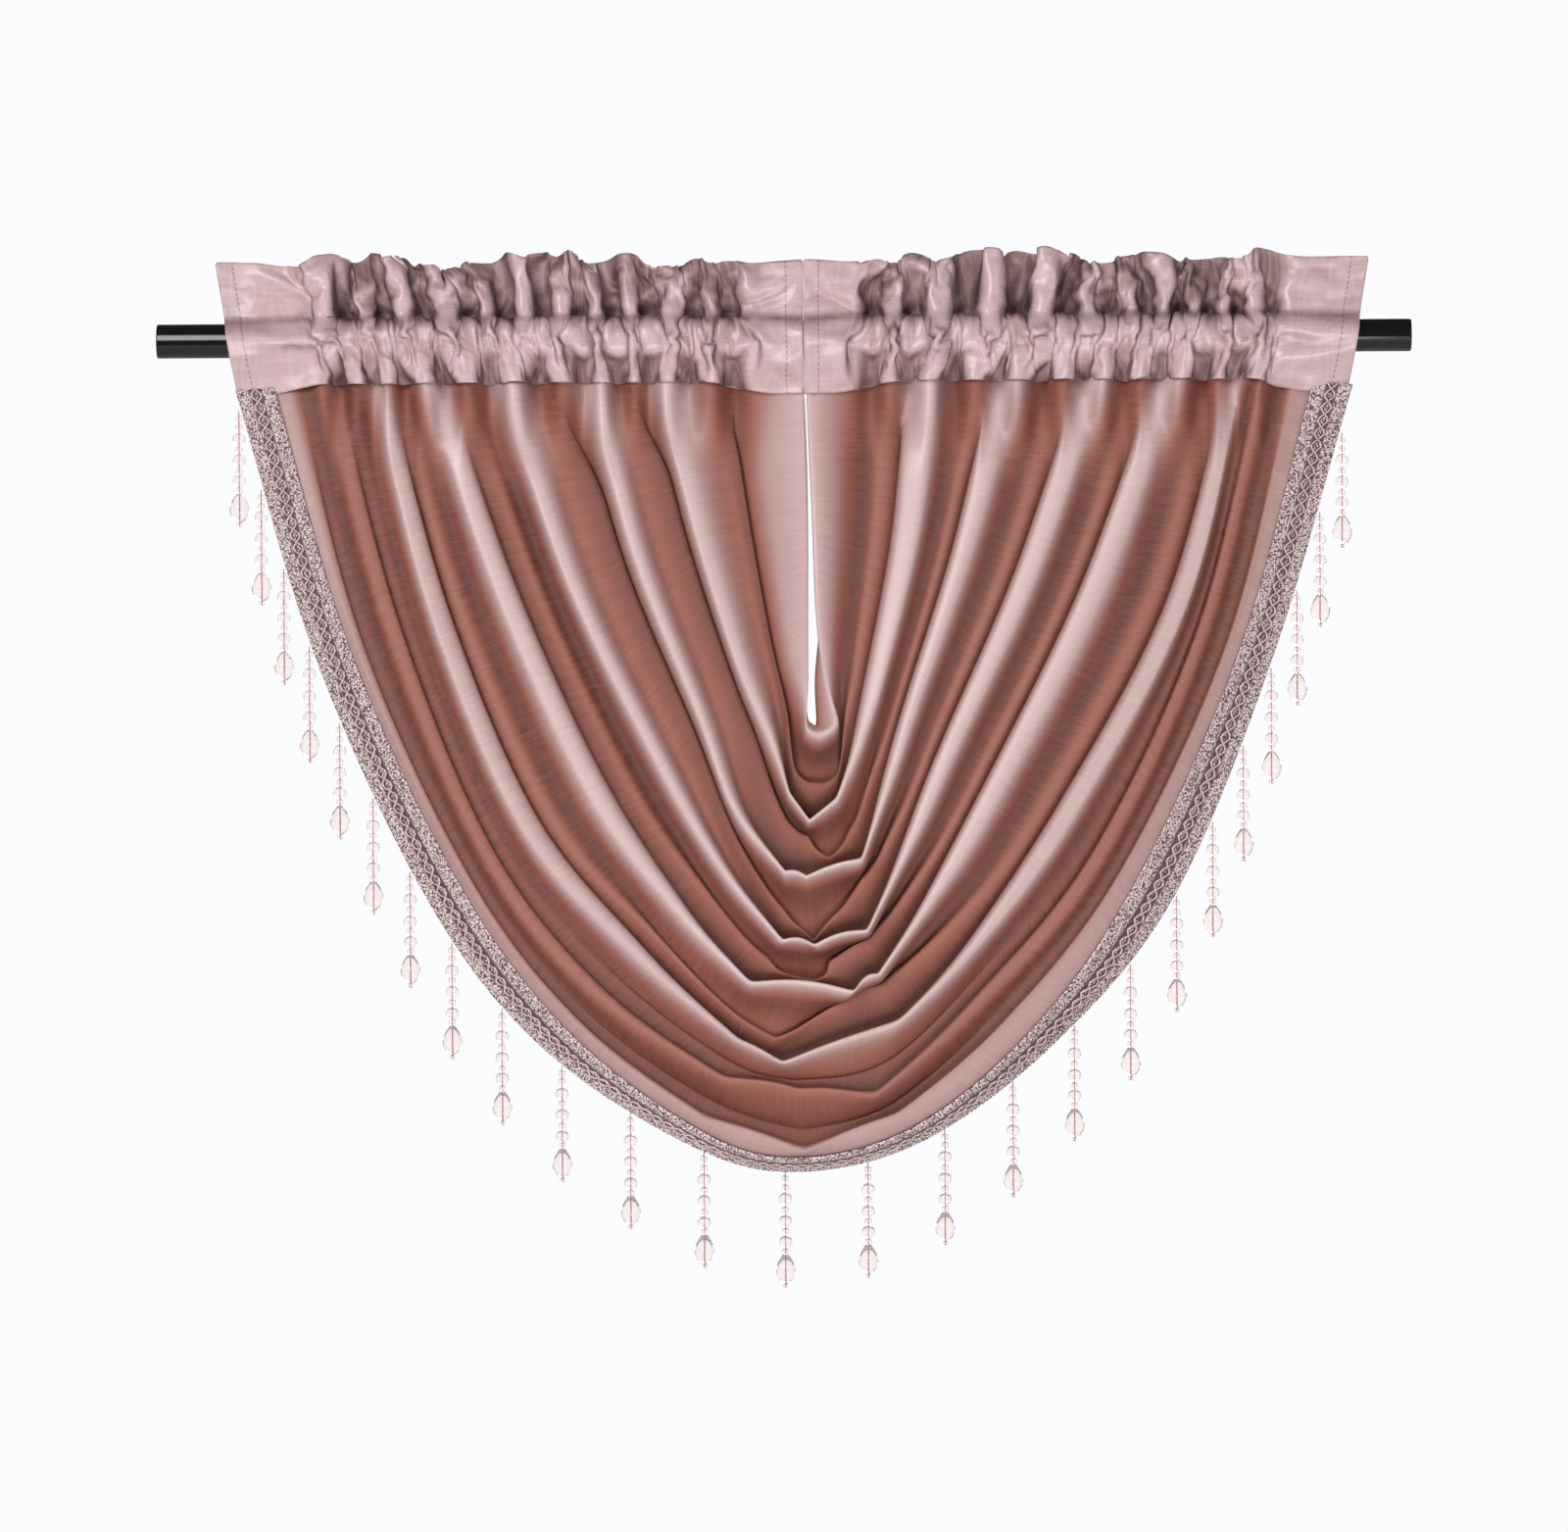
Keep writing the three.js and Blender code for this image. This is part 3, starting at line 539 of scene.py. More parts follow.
def row_reach(side, z):
    """Length of the left (-1) or right (1) heading at a height: its outer end slants inward below."""
    slant = HEADING_END_SLANT * (FRILL_TOP_Z - z) / (FRILL_TOP_Z - SEAM_Z)
    return HEADING_HALF_WIDTH - side * HEADING_MEET_X - GAP / 2 - slant


DRAWN_UP = {(row, side): drawn_up_row(f"{row} {side}", pleat_range)
    for row, pleat_range in PLEAT_RANGES.items() for side in (-1, 1)}
print("drawn-up rows:", len(DRAWN_UP), "of", round(FLAT_LENGTH), "mm of cloth each")


# %% [markdown]
# ### The swag's sheet
#
# The grid's rows follow the sections and its columns follow the stations. A few rounds of smoothing take
# the hardness out of the folds' edges. The flat cut is a fan: one curved edge is the slit's, the other
# is the braid's, and the way across is as long as the folds' section.

# %% Build the swag
ALONG = 200
FINER = 4
GATHER_FADE = 80
GATHER_KEPT = 0.9
TUCKED_BEHIND = 1.5
SOFTENING_ROUNDS = 3
SWAG_WIDTH, SWAG_LENGTH = 0.53, 0.89  # the UV map's size, across the folds and along them


def seam_gathers(x, z):
    """How far out the seam's gathers hold the cloth here: they smooth out a little way below it."""
    fade = 1 - smooth(SEAM_Z - z, 0, GATHER_FADE)
    side = 1 if x > HEADING_MEET_X else -1
    row = DRAWN_UP["seam", side]
    place = min(abs(x - HEADING_MEET_X) * ROW_LENGTH / row_reach(side, SEAM_Z), ROW_LENGTH - 1)
    i = max(bisect.bisect(row, (place,)), 1)
    before, after = row[i - 1], row[i]
    out = mix(before[1], after[1], (place - before[0]) / (after[0] - before[0]))
    return fade * fade * (TUCKED_BEHIND + GATHER_KEPT * out)


def build_swag():
    sections = [cloth_across(STATIONS * i / ALONG) for i in range(ALONG + 1)]
    intervals = len(sections[0]) - 1
    bm = bmesh.new()
    bmesh.ops.create_grid(bm, x_segments=ALONG, y_segments=intervals * FINER, size=0.5)
    tone_layer = bm.verts.layers.float.new("tone")
    uv_layer = bm.loops.layers.uv.new("cloth")
    for face in bm.faces:
        for loop in face.loops:
            loop[uv_layer].uv = ((loop.vert.co.y + 0.5) * SWAG_WIDTH, (loop.vert.co.x + 0.5) * SWAG_LENGTH)
    for vert in bm.verts:
        row = sections[round((vert.co.x + 0.5) * ALONG)]
        across = (vert.co.y + 0.5) * intervals
        x, y, z, tone = (through([p[axis] for p in row], across) for axis in range(4))
        y += seam_gathers(x, z)
        vert.co = Vector((x, y, z)) * MM
        vert[tone_layer] = tone
    return bm


bm = build_swag()
for _ in range(SOFTENING_ROUNDS):
    bmesh.ops.smooth_vert(bm, verts=[v for v in bm.verts if not v.is_boundary], factor=0.5,
        use_axis_x=True, use_axis_y=True, use_axis_z=True)
bmesh.ops.recalc_face_normals(bm, faces=bm.faces)
swag_area = sum(face.calc_area() for face in bm.faces)
swag = piece_from(bm, "swag_satin", [SATIN, SATIN_BACK])
thicken(swag, 0.0008)
print("swag:", len(swag.data.polygons), "faces,", round(swag_area, 3), "square metres")
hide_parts("swag")


# %% [markdown]
# ## The two headings
#
# Each heading is a pocket that the rod runs through, with a frill standing above it. It is a flat strip
# drawn up on two rows of stitches, and it is made that way here too: the strip's flat shape is the
# cloth's rest shape, and it starts drawn up in pleats. The cloth simulation holds the two rows and lets
# the rest settle into puffs and frill folds. It is run ten times larger, where the solver is steady.

# %% The gathered strip
POCKET_STANDS = 19
FRILL_FADE = 40
FRILL_RISE, FRILL_UNEVEN = 6, 7
STRIP_UV_HEIGHT = 0.09
RUCK = 2.4


def heading_path(side, row, column):
    """A point of the strip as it starts: drawn up differently at the seam, the stitches and the top."""
    seam, stitches, frill = (DRAWN_UP[name, side][column] for name in ("seam", "stitches", "frill"))
    if row <= POCKET_ROWS:
        t = row / POCKET_ROWS
        along, out = (mix(a, b, smooth(t, 0, 1)) for a, b in zip(seam, stitches))
        z = mix(seam_z(HEADING_MEET_X + side * along), STITCH_Z, t)
        y = -SEAM_REACH - POCKET_STANDS * pocket_bulge(t)
    else:
        t = (row - POCKET_ROWS) / FRILL_ROWS
        along, out = (mix(a, b, t * FRILL_SHIFT) for a, b in zip(stitches, frill))
        z, y = STITCH_Z + frill_height(side, column) * t, -SEAM_REACH
    x = HEADING_MEET_X + side * (GAP / 2 + along * row_reach(side, z) / ROW_LENGTH)
    return Vector((x, y + out, z))


def pocket_bulge(t):
    """How far the pocket stands off its seam at a share of its height: most level with the rod."""
    return math.sin(math.pi * t ** 1.67) ** 0.8


def frill_height(side, column):
    """The frill's height at a column: taller and uneven where it is gathered."""
    gathered = between_ends(column / COLUMNS * FLAT_LENGTH, FRILL_FADE)
    rise = FRILL_RISE + FRILL_UNEVEN * noise.noise((column * 0.12, 5 * side, 0.4))
    return FRILL_TOP_Z - STITCH_Z + gathered * rise


def heading_sheet(side):
    """The strip as a grid: each vertex has its drawn-up place, its flat place and a held flag."""
    bm = bmesh.new()
    rows = POCKET_ROWS + FRILL_ROWS
    bmesh.ops.create_grid(bm, x_segments=COLUMNS, y_segments=rows, size=0.5)
    uv_layer = bm.loops.layers.uv.new("cloth")
    for face in bm.faces:
        for loop in face.loops:
            loop[uv_layer].uv = ((side + loop.vert.co.x + 0.5) * FLAT_LENGTH * MM,
                (loop.vert.co.y + 0.5) * STRIP_UV_HEIGHT)
    flat, held = [], []
    for vert in bm.verts:
        column = round((vert.co.x + 0.5) * COLUMNS)
        row = round((vert.co.y + 0.5) * rows)
        ruck = RUCK * noise.noise((column * 0.15, row * 0.34, side))
        height = row * POCKET_HEIGHT / POCKET_ROWS
        if row > POCKET_ROWS:
            height = POCKET_HEIGHT + (row - POCKET_ROWS) * frill_height(side, column) / FRILL_ROWS
        flat.append(Vector((side * column * FLAT_LENGTH / COLUMNS, 0, height)))
        held.append(row in (0, POCKET_ROWS) or column in (0, COLUMNS))
        vert.co = heading_path(side, row, column) + Vector((0, ruck, 0))
    return bm, flat, held


# %% Let it settle
SIM_SCALE = 0.01
SETTLE_FRAMES = 22
INNER_ROD_LENGTH = 10


def settled(bm, flat, held):
    """The sheet after the cloth simulation, in millimetres again."""
    mesh = bpy.data.meshes.new("settling")
    for vert in bm.verts:
        vert.co *= SIM_SCALE
    bm.to_mesh(mesh)
    cloth_object = bpy.data.objects.new("settling", mesh)
    rod_bm = bmesh.new()
    bmesh.ops.create_cone(rod_bm, segments=32, radius1=ROD_RADIUS * SIM_SCALE, radius2=ROD_RADIUS * SIM_SCALE,
        depth=INNER_ROD_LENGTH, cap_ends=True)
    bmesh.ops.rotate(rod_bm, verts=rod_bm.verts, matrix=Matrix.Rotation(math.pi / 2, 3, "Y"))
    rod_object = bpy.data.objects.new("inner rod", as_mesh(rod_bm, "inner rod"))
    for made in (cloth_object, rod_object):
        bpy.context.scene.collection.objects.link(made)
    rod_object.modifiers.new("solid", "COLLISION")
    rod_object.collision.thickness_outer = 0.012
    cloth_object.shape_key_add(name="drawn up")
    rest = cloth_object.shape_key_add(name="flat")
    for point, place in zip(rest.data, flat):
        point.co = place * SIM_SCALE
    rest.value = 0
    stitches = cloth_object.vertex_groups.new(name="stitches")
    stitches.add([i for i, holds in enumerate(held) if holds], 1.0, "REPLACE")
    cloth = cloth_object.modifiers.new("cloth", "CLOTH")
    settings = cloth.settings
    settings.vertex_group_mass = "stitches"
    settings.rest_shape_key = rest
    settings.quality = 7
    settings.mass = 0.3
    settings.tension_stiffness = settings.compression_stiffness = 30
    settings.shear_stiffness = 8
    settings.bending_stiffness = 4
    settings.air_damping = 4
    settings.effector_weights.gravity = 0
    cloth.collision_settings.use_self_collision = True
    cloth.collision_settings.self_distance_min = 0.013
    cloth.collision_settings.distance_min = 0.01
    cloth.point_cache.frame_start = 1
    cloth.point_cache.frame_end = SETTLE_FRAMES
    for frame_number in range(1, SETTLE_FRAMES + 1):
        bpy.context.scene.frame_set(frame_number)
    seen = cloth_object.evaluated_get(bpy.context.evaluated_depsgraph_get()).data
    places = [vert.co / SIM_SCALE for vert in seen.vertices]
    bpy.context.scene.frame_set(1)
    for made in (cloth_object, rod_object):
        bpy.data.objects.remove(made)
    return places


# %% [markdown]
# ### Creases and shade
#
# The solver gives round puffs, but stiff satin also breaks into sharp creases. They are raised after it,
# along the lines where a slow noise passes through zero, in two leaning directions. Light and shade are
# painted on too: cloth that faces the room squarely is painted lighter, the slots between the puffs are
# painted in shade, and each crease gets a painted highlight.

# %% Creases and shade
CREASE_PITCH = 26
CREASE_WIDTH = 0.16
CREASE_HEIGHT = 1.5
CREASE_LEAN = 0.8
# a painted highlight along each crease
CREASE_HIGHLIGHT = 0.3
CREASES_START = (0.1, 0.35)
# painted light where the cloth faces the room, and painted shade in the slots between the puffs
SHADE_STANDS = 15
LIT_FACING = (0.05, 0.8)
SHADE_DEPTHS = (-11, 2)
SLOT_SHADE = 0.26
HEADING_CLOTH = 0.0007


def sharp_crease(place, lean):
    """From 0 to 1 on a crease that leans to one side as it rises."""
    wave = noise.noise(((place.x + lean * place.z) / CREASE_PITCH, place.z / CREASE_PITCH / 3, lean))
    return max(0, 1 - abs(wave) / CREASE_WIDTH)


def crease_and_shade(bm, starts, side):
    """Raises the creases and paints light and shade: lighter facing the room, shade in the slots, a highlight
    on each crease. starts says where each vertex was before it settled.
    """
    tone_layer = bm.verts.layers.float.new("tone")
    bm.normal_update()
    for vert, place in zip(bm.verts, starts):
        drawn = 1 - abs(2 * (vert.co.x / MM - HEADING_MEET_X) * side / ROW_LENGTH - 1)
        crease = max(sharp_crease(place, CREASE_LEAN), sharp_crease(place, -CREASE_LEAN))
        crease *= smooth(drawn, *CREASES_START)
        level = max(min(place.z, STITCH_Z) - SEAM_Z, 0)
        usual_reach = SEAM_REACH + SHADE_STANDS * pocket_bulge(level / (STITCH_Z - SEAM_Z))
        stands_out = -usual_reach - vert.co.y / MM
        # painted light by how squarely the cloth faces the room, painted shade in the slots, a painted
        # highlight on each crease
        tone = smooth(-vert.normal.y, *LIT_FACING) * mix(SLOT_SHADE, 1, smooth(stands_out, *SHADE_DEPTHS))
        vert[tone_layer] = min(1, tone + CREASE_HIGHLIGHT * crease)
        vert.co += vert.normal * crease * CREASE_HEIGHT * MM


# %% Build the headings
def build_heading(name, side):
    bm, flat, held = heading_sheet(side)
    starts = [vert.co.copy() for vert in bm.verts]
    places = settled(bm, flat, held)
    for vert, place in zip(bm.verts, places):
        vert.co = place * MM
    if side < 0:
        bmesh.ops.reverse_faces(bm, faces=bm.faces)
    crease_and_shade(bm, starts, side)
    heading = piece_from(bm, name, [HEADING_SATIN, SATIN_BACK])
    rounder = heading.modifiers.new("rounder", "SUBSURF")
    rounder.levels = rounder.render_levels = 1
    thicken(heading, HEADING_CLOTH)
    print(name, len(heading.data.polygons), "faces", [round(d, 3) for d in heading.dimensions])
    return heading


BACK_STANDS = 14.2
BACK_GATHERS = 0.3
BACK_SHIFT = 12
BACK_SHADE_REACH = 8


def build_pocket_back(name, side):
    """The pocket's wall behind the rod, from the seam up to the stitches."""
    bm = bmesh.new()
    bmesh.ops.create_grid(bm, x_segments=COLUMNS, y_segments=POCKET_ROWS, size=0.5)
    tone_layer = bm.verts.layers.float.new("tone")
    uv_layer = bm.loops.layers.uv.new("cloth")
    for face in bm.faces:
        for loop in face.loops:
            loop[uv_layer].uv = ((loop.vert.co.x + 0.5) * FLAT_LENGTH * MM,
                (loop.vert.co.y + 0.5) * POCKET_HEIGHT * MM)
    for vert in bm.verts:
        column, row = round((vert.co.x + 0.5) * COLUMNS), round((vert.co.y + 0.5) * POCKET_ROWS)
        place = heading_path(side, row, column)
        bulge = pocket_bulge(row / POCKET_ROWS)
        out = place.y + SEAM_REACH + POCKET_STANDS * bulge
        gathers = mix(out, BACK_GATHERS * (out + BACK_SHIFT), min(1, bulge * 2))
        place.y = -SEAM_REACH + BACK_STANDS * bulge + gathers
        vert.co = place * MM
        # painted shade where the wall's gathers fall back, lighter where they stand out
        vert[tone_layer] = smooth(out, -BACK_SHADE_REACH, BACK_SHADE_REACH)
    if side > 0:
        bmesh.ops.reverse_faces(bm, faces=bm.faces)
    back = piece_from(bm, name, [HEADING_SATIN, SATIN_BACK])
    thicken(back, HEADING_CLOTH)
    return back


for name, side in (("heading_left", -1), ("heading_right", 1)):
    heading = build_heading(name + "_satin", side)
    back = build_pocket_back(name + "_back", side)
    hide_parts(name)


# %% [markdown]
# ## The braid
#
# The braid is a woven strip with cords worked over it: a chain of crossing loops down the middle, and
# finer knots inside the chain and toward both edges. Each cord swings from side to side as it runs, and
# its partner swings the other way, so the two of them close the loops. The strip is painted dark under
# the chain, as painted shadow, so that the loops stand out.

# %% Places along the braid
MEASURE_STEPS = 600
EDGE_STEP = 0.02
BRAID_RISE = 1.4


def braid_frame(station):
    """The braid's inner edge, the way across, the way along and the way out, at one station."""
    inner, outer = ridge_point(BRAID_INNER, station), ridge_point(BRAID_OUTER, station)
    ahead = ridge_point(BRAID_OUTER, min(station + EDGE_STEP, STATIONS))
    behind = ridge_point(BRAID_OUTER, max(station - EDGE_STEP, 0))
    along = (ahead - behind).normalized()
    across = outer - inner
    front = along.cross(across).normalized()
    if front.y > 0:
        front.negate()
    return inner, across, along, front


measured = [STATIONS * i / MEASURE_STEPS for i in range(MEASURE_STEPS + 1)]
edge = [ridge_point(BRAID_OUTER, station) for station in measured]
distances = [0.0]
for start, end in zip(edge, edge[1:]):
    distances.append(distances[-1] + (end - start).length)
BRAID_LENGTH = distances[-1]
print("braid:", round(BRAID_LENGTH), "mm round its outer edge")


def station_at(distance):
    """The station that lies this many millimetres along the braid's outer edge."""
    i = min(max(bisect.bisect(distances, distance), 1), MEASURE_STEPS)
    share = (distance - distances[i - 1]) / (distances[i] - distances[i - 1])
    return mix(measured[i - 1], measured[i], share)


def on_braid(distance, share, sideways=0.0, lift=0.0):
    """A place on the braid's face: share is 0 at its inner edge and 1 at its outer one."""
    inner, across, along, front = braid_frame(station_at(distance))
    return inner + across * share + across.normalized() * sideways + front * (CLOTH / 2 + BRAID_RISE + lift)


# %% Braid materials
def thread_material(name, thread, shadow, scale):
    """Twisted thread: dark flecks between light strands, and all painted shadow where the strip lies under
    the chain.
    """
    material, tree, shader = new_material(name, 0.55, Sheen_Weight=0.3)
    where = add_node(tree, "TexCoord")
    cells = add_node(tree, "TexVoronoi", [("Vector", where.outputs["Object"]), ("Scale", scale)])
    fleck = add_node(tree, "MapRange", [("Value", cells.outputs["Distance"]), ("From Min", 0.3),
        ("From Max", 0.7)])
    # painted shadow under the chain
    chain_shade = add_node(tree, "Attribute", attribute_name="chain_shade")
    dark = add_node(tree, "Math", [(0, fleck.outputs[0]), (1, chain_shade.outputs["Fac"])], operation="MAXIMUM")
    colour = add_node(tree, "Mix", [("Factor", dark.outputs[0])], data_type="RGBA")
    colour.inputs[COLOUR_A].default_value = thread
    colour.inputs[COLOUR_B].default_value = shadow
    tree.links.new(colour.outputs[COLOUR_OUT], shader.inputs["Base Color"])
    bump = add_node(tree, "Bump", [("Height", cells.outputs["Distance"]), ("Strength", 0.8),
        ("Distance", 0.0006)])
    bump.invert = True
    tree.links.new(bump.outputs[0], shader.inputs["Normal"])
    return material


CORD_THREAD = thread_material("braid_cord", srgb(242, 224, 222), srgb(186, 154, 152), 1400)
BRAID_GROUND = thread_material("braid_ground", srgb(246, 228, 227), srgb(94, 60, 62), 780)

# %% The woven strip and its cords
CORD_COLUMNS = "share swing wave start radius lift".split()
CHAIN = [(0.5, 3.3, 17.4, 0, 0.8, 1.5)]
KNOTS = [
    (0.5, 1.1, 5.8, 0, 0.55, 0.5),
    (0.05, 0.9, 6, 0, 0.6, 0.6), (0.145, 0.9, 5, 0, 0.6, 0.6), (0.24, 0.9, 6, 0.2, 0.6, 0.6),
    (0.76, 0.9, 6, 0.2, 0.6, 0.6), (0.855, 0.9, 5, 0, 0.6, 0.6), (0.95, 0.9, 6, 0, 0.6, 0.6),
]
PARTNERS = (0, 0.5)
POINTS_TO_A_WAVE = 6
CORD_SIDES = 4
CROSSING_LIFT = 0.4
STRIP_ROWS = 14
CHAIN_HALF_SHARE, CHAIN_FADE = 0.15, 0.05


def build_strip():
    bm = bmesh.new()
    bmesh.ops.create_grid(bm, x_segments=ALONG * 2, y_segments=STRIP_ROWS, size=0.5)
    chain_shade_layer = bm.verts.layers.float.new("chain_shade")
    for vert in bm.verts:
        distance, share = (vert.co.x + 0.5) * BRAID_LENGTH, vert.co.y + 0.5
        vert.co = on_braid(distance, share) * MM
        # painted shadow: 1 under the chain, fading out beside it
        vert[chain_shade_layer] = 1 - smooth(abs(share - 0.5), CHAIN_HALF_SHARE, CHAIN_HALF_SHARE + CHAIN_FADE)
    bmesh.ops.recalc_face_normals(bm, faces=bm.faces)
    return bm


def add_cord(bm, cord, partner):
    """Sweeps a four-sided cord along the braid. It rises and falls as it crosses its partner."""
    turns = BRAID_LENGTH / cord["wave"]
    steps = round(turns * POINTS_TO_A_WAVE)
    made = bmesh.ops.create_grid(bm, x_segments=steps, y_segments=CORD_SIDES, size=0.5)["verts"]
    for vert in made:
        distance = (vert.co.x + 0.5) * BRAID_LENGTH
        round_it = 2 * math.pi * (vert.co.y + 0.5)
        phase = 2 * math.pi * (distance / cord["wave"] + (cord["start"] + partner))
        sideways = cord["swing"] * math.sin(phase) + cord["radius"] * math.cos(round_it)
        rise = CROSSING_LIFT * cord["radius"] * math.cos(phase)
        lift = cord["lift"] + rise + cord["radius"] * math.sin(round_it)
        vert.co = on_braid(distance, cord["share"], sideways, lift) * MM
    bmesh.ops.remove_doubles(bm, verts=made, dist=1e-6)


def build_cords(name, table, material):
    bm = bmesh.new()
    for row in table:
        for partner in PARTNERS:
            add_cord(bm, dict(zip(CORD_COLUMNS, row)), partner)
    bmesh.ops.recalc_face_normals(bm, faces=bm.faces)
    cords = piece_from(bm, name, [material])
    print(name, len(cords.data.polygons), "faces")
    return cords


strip = piece_from(build_strip(), "braid_ground", [BRAID_GROUND])
thicken(strip, 0.0011)
chain = build_cords("braid_chain", CHAIN, CORD_THREAD)
knots = build_cords("braid_knots", KNOTS, BRAID_GROUND)
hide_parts("braid")


# %% [markdown]
# ## The bead fringe
#
# Each strand is a thread with eight clear beads, a fluted drop and a tiny bead that holds it on. One
# bead and one drop are modelled and then copied along every thread. Clear acrylic needs real
# transmission, because its look is mostly the bent background and the thread inside.

# %% Bead materials
ACRYLIC, _, _ = new_material("bead_acrylic", 0.04, Base_Color=srgb(253, 240, 240),
    Transmission_Weight=1.0, IOR=1.24)
THREAD, _, _ = new_material("bead_thread", 0.6, Base_Color=srgb(176, 138, 138))

# %% Threads and beads
STRAND_PITCH = 53.3
FIRST_STRAND = 14
STRAND_LENGTH = 75
SPINE_OUT = 1.75
THREAD_RADIUS = 0.35
BEAD_PLAY = 0.3
FLUTES = 8
FLUTE_DEPTH = 0.07
DROP_SHOULDER = 0.28
BEAD_COLUMNS = "below radius halfLength".split()
BEADS = [
    (5, 2.4, 2.4), (10.5, 2.4, 2.4), (18, 4.2, 4.0), (25, 2.4, 2.4), (32, 4.2, 4.0), (39, 2.4, 2.4),
    (45.5, 4.2, 4.0), (51.5, 2.2, 2.2), (74, 1.7, 1.9),
]
DROP = {"below": 63, "radius": 6.1, "halfLength": 9.6}


def round_bead():
    bm = bmesh.new()
    bmesh.ops.create_uvsphere(bm, u_segments=12, v_segments=8, radius=1)
    return as_mesh(bm, "bead")


def fluted_drop():
    """A drop that is widest below its middle, with rounded flutes down its sides."""
    bm = bmesh.new()
    bmesh.ops.create_uvsphere(bm, u_segments=FLUTES * 3, v_segments=10, radius=1)
    for vert in bm.verts:
        x, y, z = vert.co
        flute = 1 + FLUTE_DEPTH * math.cos(FLUTES * math.atan2(y, x))
        belly = 1 - DROP_SHOULDER * smooth(z, -0.2, 1)
        vert.co = (x * flute * belly, y * flute * belly, z)
    return as_mesh(bm, "drop")


def add_copy(bm, mesh, place, radius, half_length):
    first = len(bm.verts)
    bm.from_mesh(mesh)
    bm.verts.ensure_lookup_table()
    new = bm.verts[first:]
    bmesh.ops.scale(bm, verts=new, vec=(radius * MM, radius * MM, half_length * MM))
    bmesh.ops.translate(bm, verts=new, vec=place)


bead_mesh, drop_mesh = round_bead(), fluted_drop()
beads_bm, threads_bm = bmesh.new(), bmesh.new()
sway = random.Random(5)
distance = FIRST_STRAND
strands = 0
while distance <= BRAID_LENGTH:
    top = on_braid(distance, 1, SPINE_OUT) * MM
    strands += 1
    for row in BEADS:
        bead = dict(zip(BEAD_COLUMNS, row))
        place = top - Vector((0, 0, bead["below"] + sway.uniform(-BEAD_PLAY, BEAD_PLAY))) * MM
        add_copy(beads_bm, bead_mesh, place, bead["radius"], bead["halfLength"])
    place = top - Vector((0, 0, DROP["below"])) * MM
    add_copy(beads_bm, drop_mesh, place, DROP["radius"], DROP["halfLength"])
    made = bmesh.ops.create_cone(threads_bm, segments=6, radius1=THREAD_RADIUS * MM,
        radius2=THREAD_RADIUS * MM, depth=STRAND_LENGTH * MM, cap_ends=True)["verts"]
    bmesh.ops.translate(threads_bm, verts=made, vec=top - Vector((0, 0, STRAND_LENGTH / 2 * MM)))
    distance += STRAND_PITCH
beads = piece_from(beads_bm, "beads", [ACRYLIC])
threads = piece_from(threads_bm, "bead_threads", [THREAD])
print(strands, "strands,", len(beads.data.polygons), "bead faces")
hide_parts("bead_fringe")


# %% [markdown]
# ## The rod
#
# A plain round tube, lacquered black. A cylinder is enough for it, with its end edges bevelled, because
# a real edge always catches a little light.

# %% Build the rod
ROD_LEFT_END, ROD_RIGHT_END = -413, 402
END_EDGE = 0.8
SHARP = 1.0
LACQUER, _, _ = new_material("rod_lacquer", 0.13, Base_Color=srgb(16, 16, 18))
bm = bmesh.new()
bmesh.ops.create_cone(bm, segments=64, radius1=ROD_RADIUS * MM, radius2=ROD_RADIUS * MM,
    depth=(ROD_RIGHT_END - ROD_LEFT_END) * MM, cap_ends=True)
ends = [e for e in bm.edges if len(e.link_faces) == 2 and e.calc_face_angle() > SHARP]
bmesh.ops.bevel(bm, geom=ends, offset=END_EDGE * MM, offset_type="OFFSET", segments=3, profile=0.5,
    affect="EDGES", material=-1)
bmesh.ops.rotate(bm, verts=bm.verts, matrix=Matrix.Rotation(math.pi / 2, 3, "Y"))
bmesh.ops.translate(bm, verts=bm.verts, vec=((ROD_LEFT_END + ROD_RIGHT_END) / 2 * MM, 0, 0))
rod = piece_from(bm, "rod_tube", [LACQUER])
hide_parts("rod")
print("rod:", ROD_RIGHT_END - ROD_LEFT_END, "mm long")


# %% [markdown]
# ## Camera and studio
#
# The camera looks at the valance squarely from five metres away, so its perspective is weak. Four soft
# lamps light the cloth: a key from the left, a fill from the right, one behind that keeps the back from
# going dark, and one from below that opens up the folds at the bottom. The white background shows only
# to the camera and through the beads, so it adds no light to the cloth. The floor glows a little for the
# camera alone, to be as pale as the background.

# %% Camera
PLANE_WIDTH = 1.0195
DISTANCE = 5.0
CAMERA_X, CAMERA_Z = -0.0071, -0.2783
CAMERA_ROLL = 0.00594
camera_data = bpy.data.cameras.new("camera")
camera_data.sensor_width = 36
camera_data.lens = 36 * DISTANCE / PLANE_WIDTH
camera_data.clip_end = 50
camera = bpy.data.objects.new("camera", camera_data)
camera.location = (CAMERA_X, -DISTANCE, CAMERA_Z)
camera.rotation_euler = (math.pi / 2, CAMERA_ROLL, 0)
bpy.context.scene.collection.objects.link(camera)
bpy.context.scene.camera = camera
print("lens:", round(camera_data.lens), "mm")


# %% Lamps
AIM = (0, 0, -0.25)


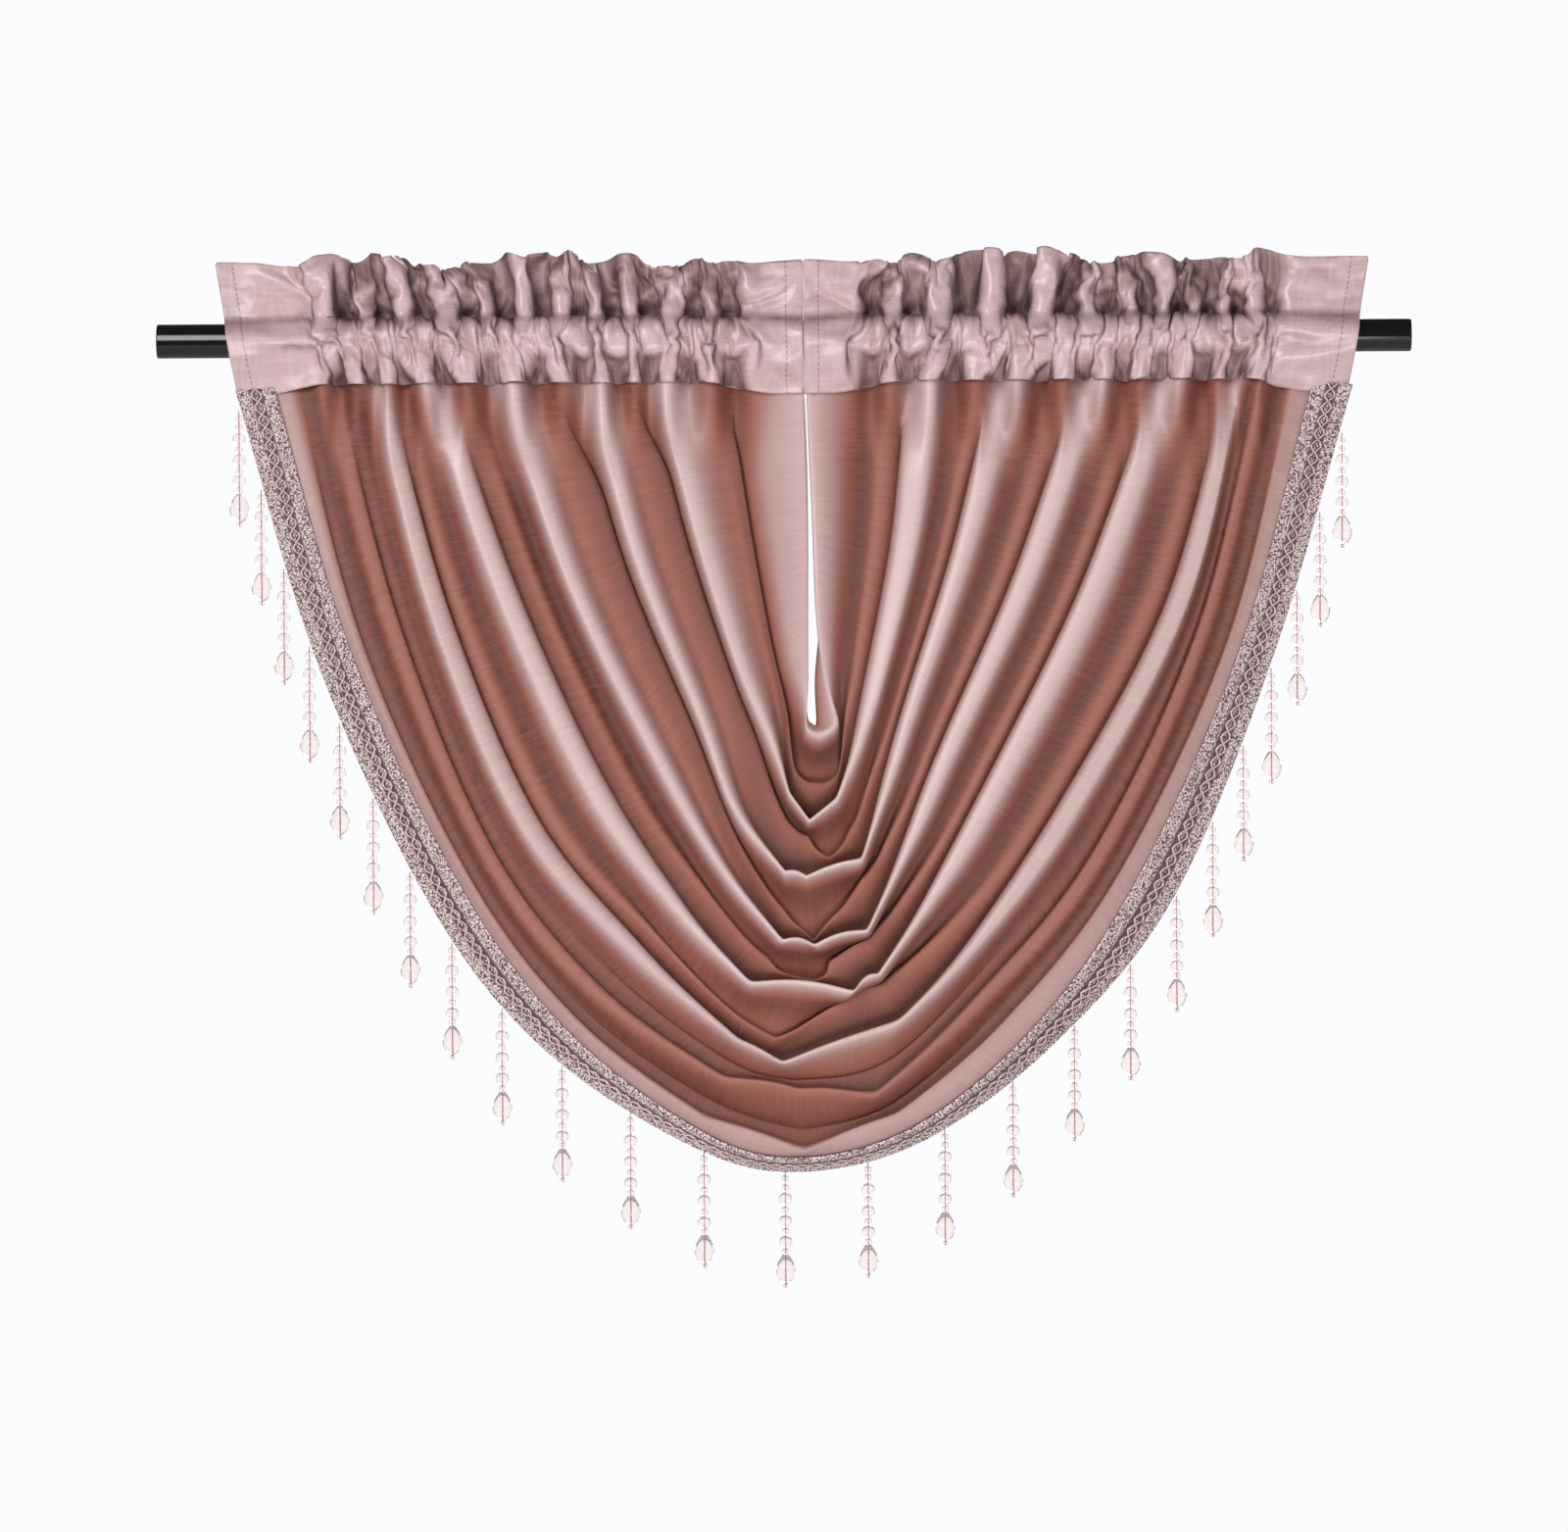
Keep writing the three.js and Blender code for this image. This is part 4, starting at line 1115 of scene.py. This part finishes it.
def area_light(name, place, aim, size, power):
    data = bpy.data.lights.new(name, "AREA")
    data.shape = "RECTANGLE"
    data.size, data.size_y = size
    data.energy = power
    lamp = bpy.data.objects.new(name, data)
    lamp.location = place
    lamp.rotation_euler = (Vector(aim) - Vector(place)).to_track_quat("-Z", "Y").to_euler()
    bpy.context.scene.collection.objects.link(lamp)
    print(name, "lamp:", power, "W")


area_light("key", (-1.5, -2.7, 1.1), AIM, (1.4, 1.8), 67)
area_light("fill", (2.5, -2.4, 0.6), AIM, (1.4, 1.6), 19)
area_light("back", (0.9, 2.3, 1.5), AIM, (1.5, 1.2), 55)
area_light("bounce", (0.2, -2.3, -1.3), (0, 0, -0.5), (2.0, 1.0), 46)

# %% Floor
FLOOR_Z = -1.5
FLOOR_SIZE = 5
FLOOR_GLOW = 0.75
floor_paint, tree, shader = new_material("floor_paint", 0.7, Base_Color=srgb(232, 232, 234),
    Emission_Color=(0.93, 0.935, 0.95, 1))
ray = add_node(tree, "LightPath")
glow = add_node(tree, "Math", [(0, ray.outputs["Is Camera Ray"]), (1, FLOOR_GLOW)], operation="MULTIPLY")
tree.links.new(glow.outputs[0], shader.inputs["Emission Strength"])
bm = bmesh.new()
bmesh.ops.create_grid(bm, x_segments=1, y_segments=1, size=FLOOR_SIZE / 2)
bmesh.ops.translate(bm, verts=bm.verts, vec=(0, 0, FLOOR_Z))
floor_mesh = as_mesh(bm, "floor")
floor_mesh.materials.append(floor_paint)
floor = bpy.data.objects.new("floor", floor_mesh)
bpy.context.scene.collection.objects.link(floor)

# %% Background
WORLD_LIGHT = (0.09, 0.09, 0.095, 1)
BACKGROUND = (0.965, 0.97, 0.98, 1)
world = bpy.data.worlds.new("studio")
bpy.context.scene.world = world
world.use_nodes = True
tree = world.node_tree
ray = add_node(tree, "LightPath")
straight = add_node(tree, "Math", [(0, ray.outputs["Is Camera Ray"]),
    (1, ray.outputs["Is Transmission Ray"])], operation="MAXIMUM")
seen = add_node(tree, "Mix", [("Factor", straight.outputs[0])], data_type="RGBA")
seen.inputs[COLOUR_A].default_value = WORLD_LIGHT
seen.inputs[COLOUR_B].default_value = BACKGROUND
tree.links.new(seen.outputs[COLOUR_OUT], tree.nodes["Background"].inputs["Color"])
bpy.context.scene.view_settings.view_transform = "Standard"
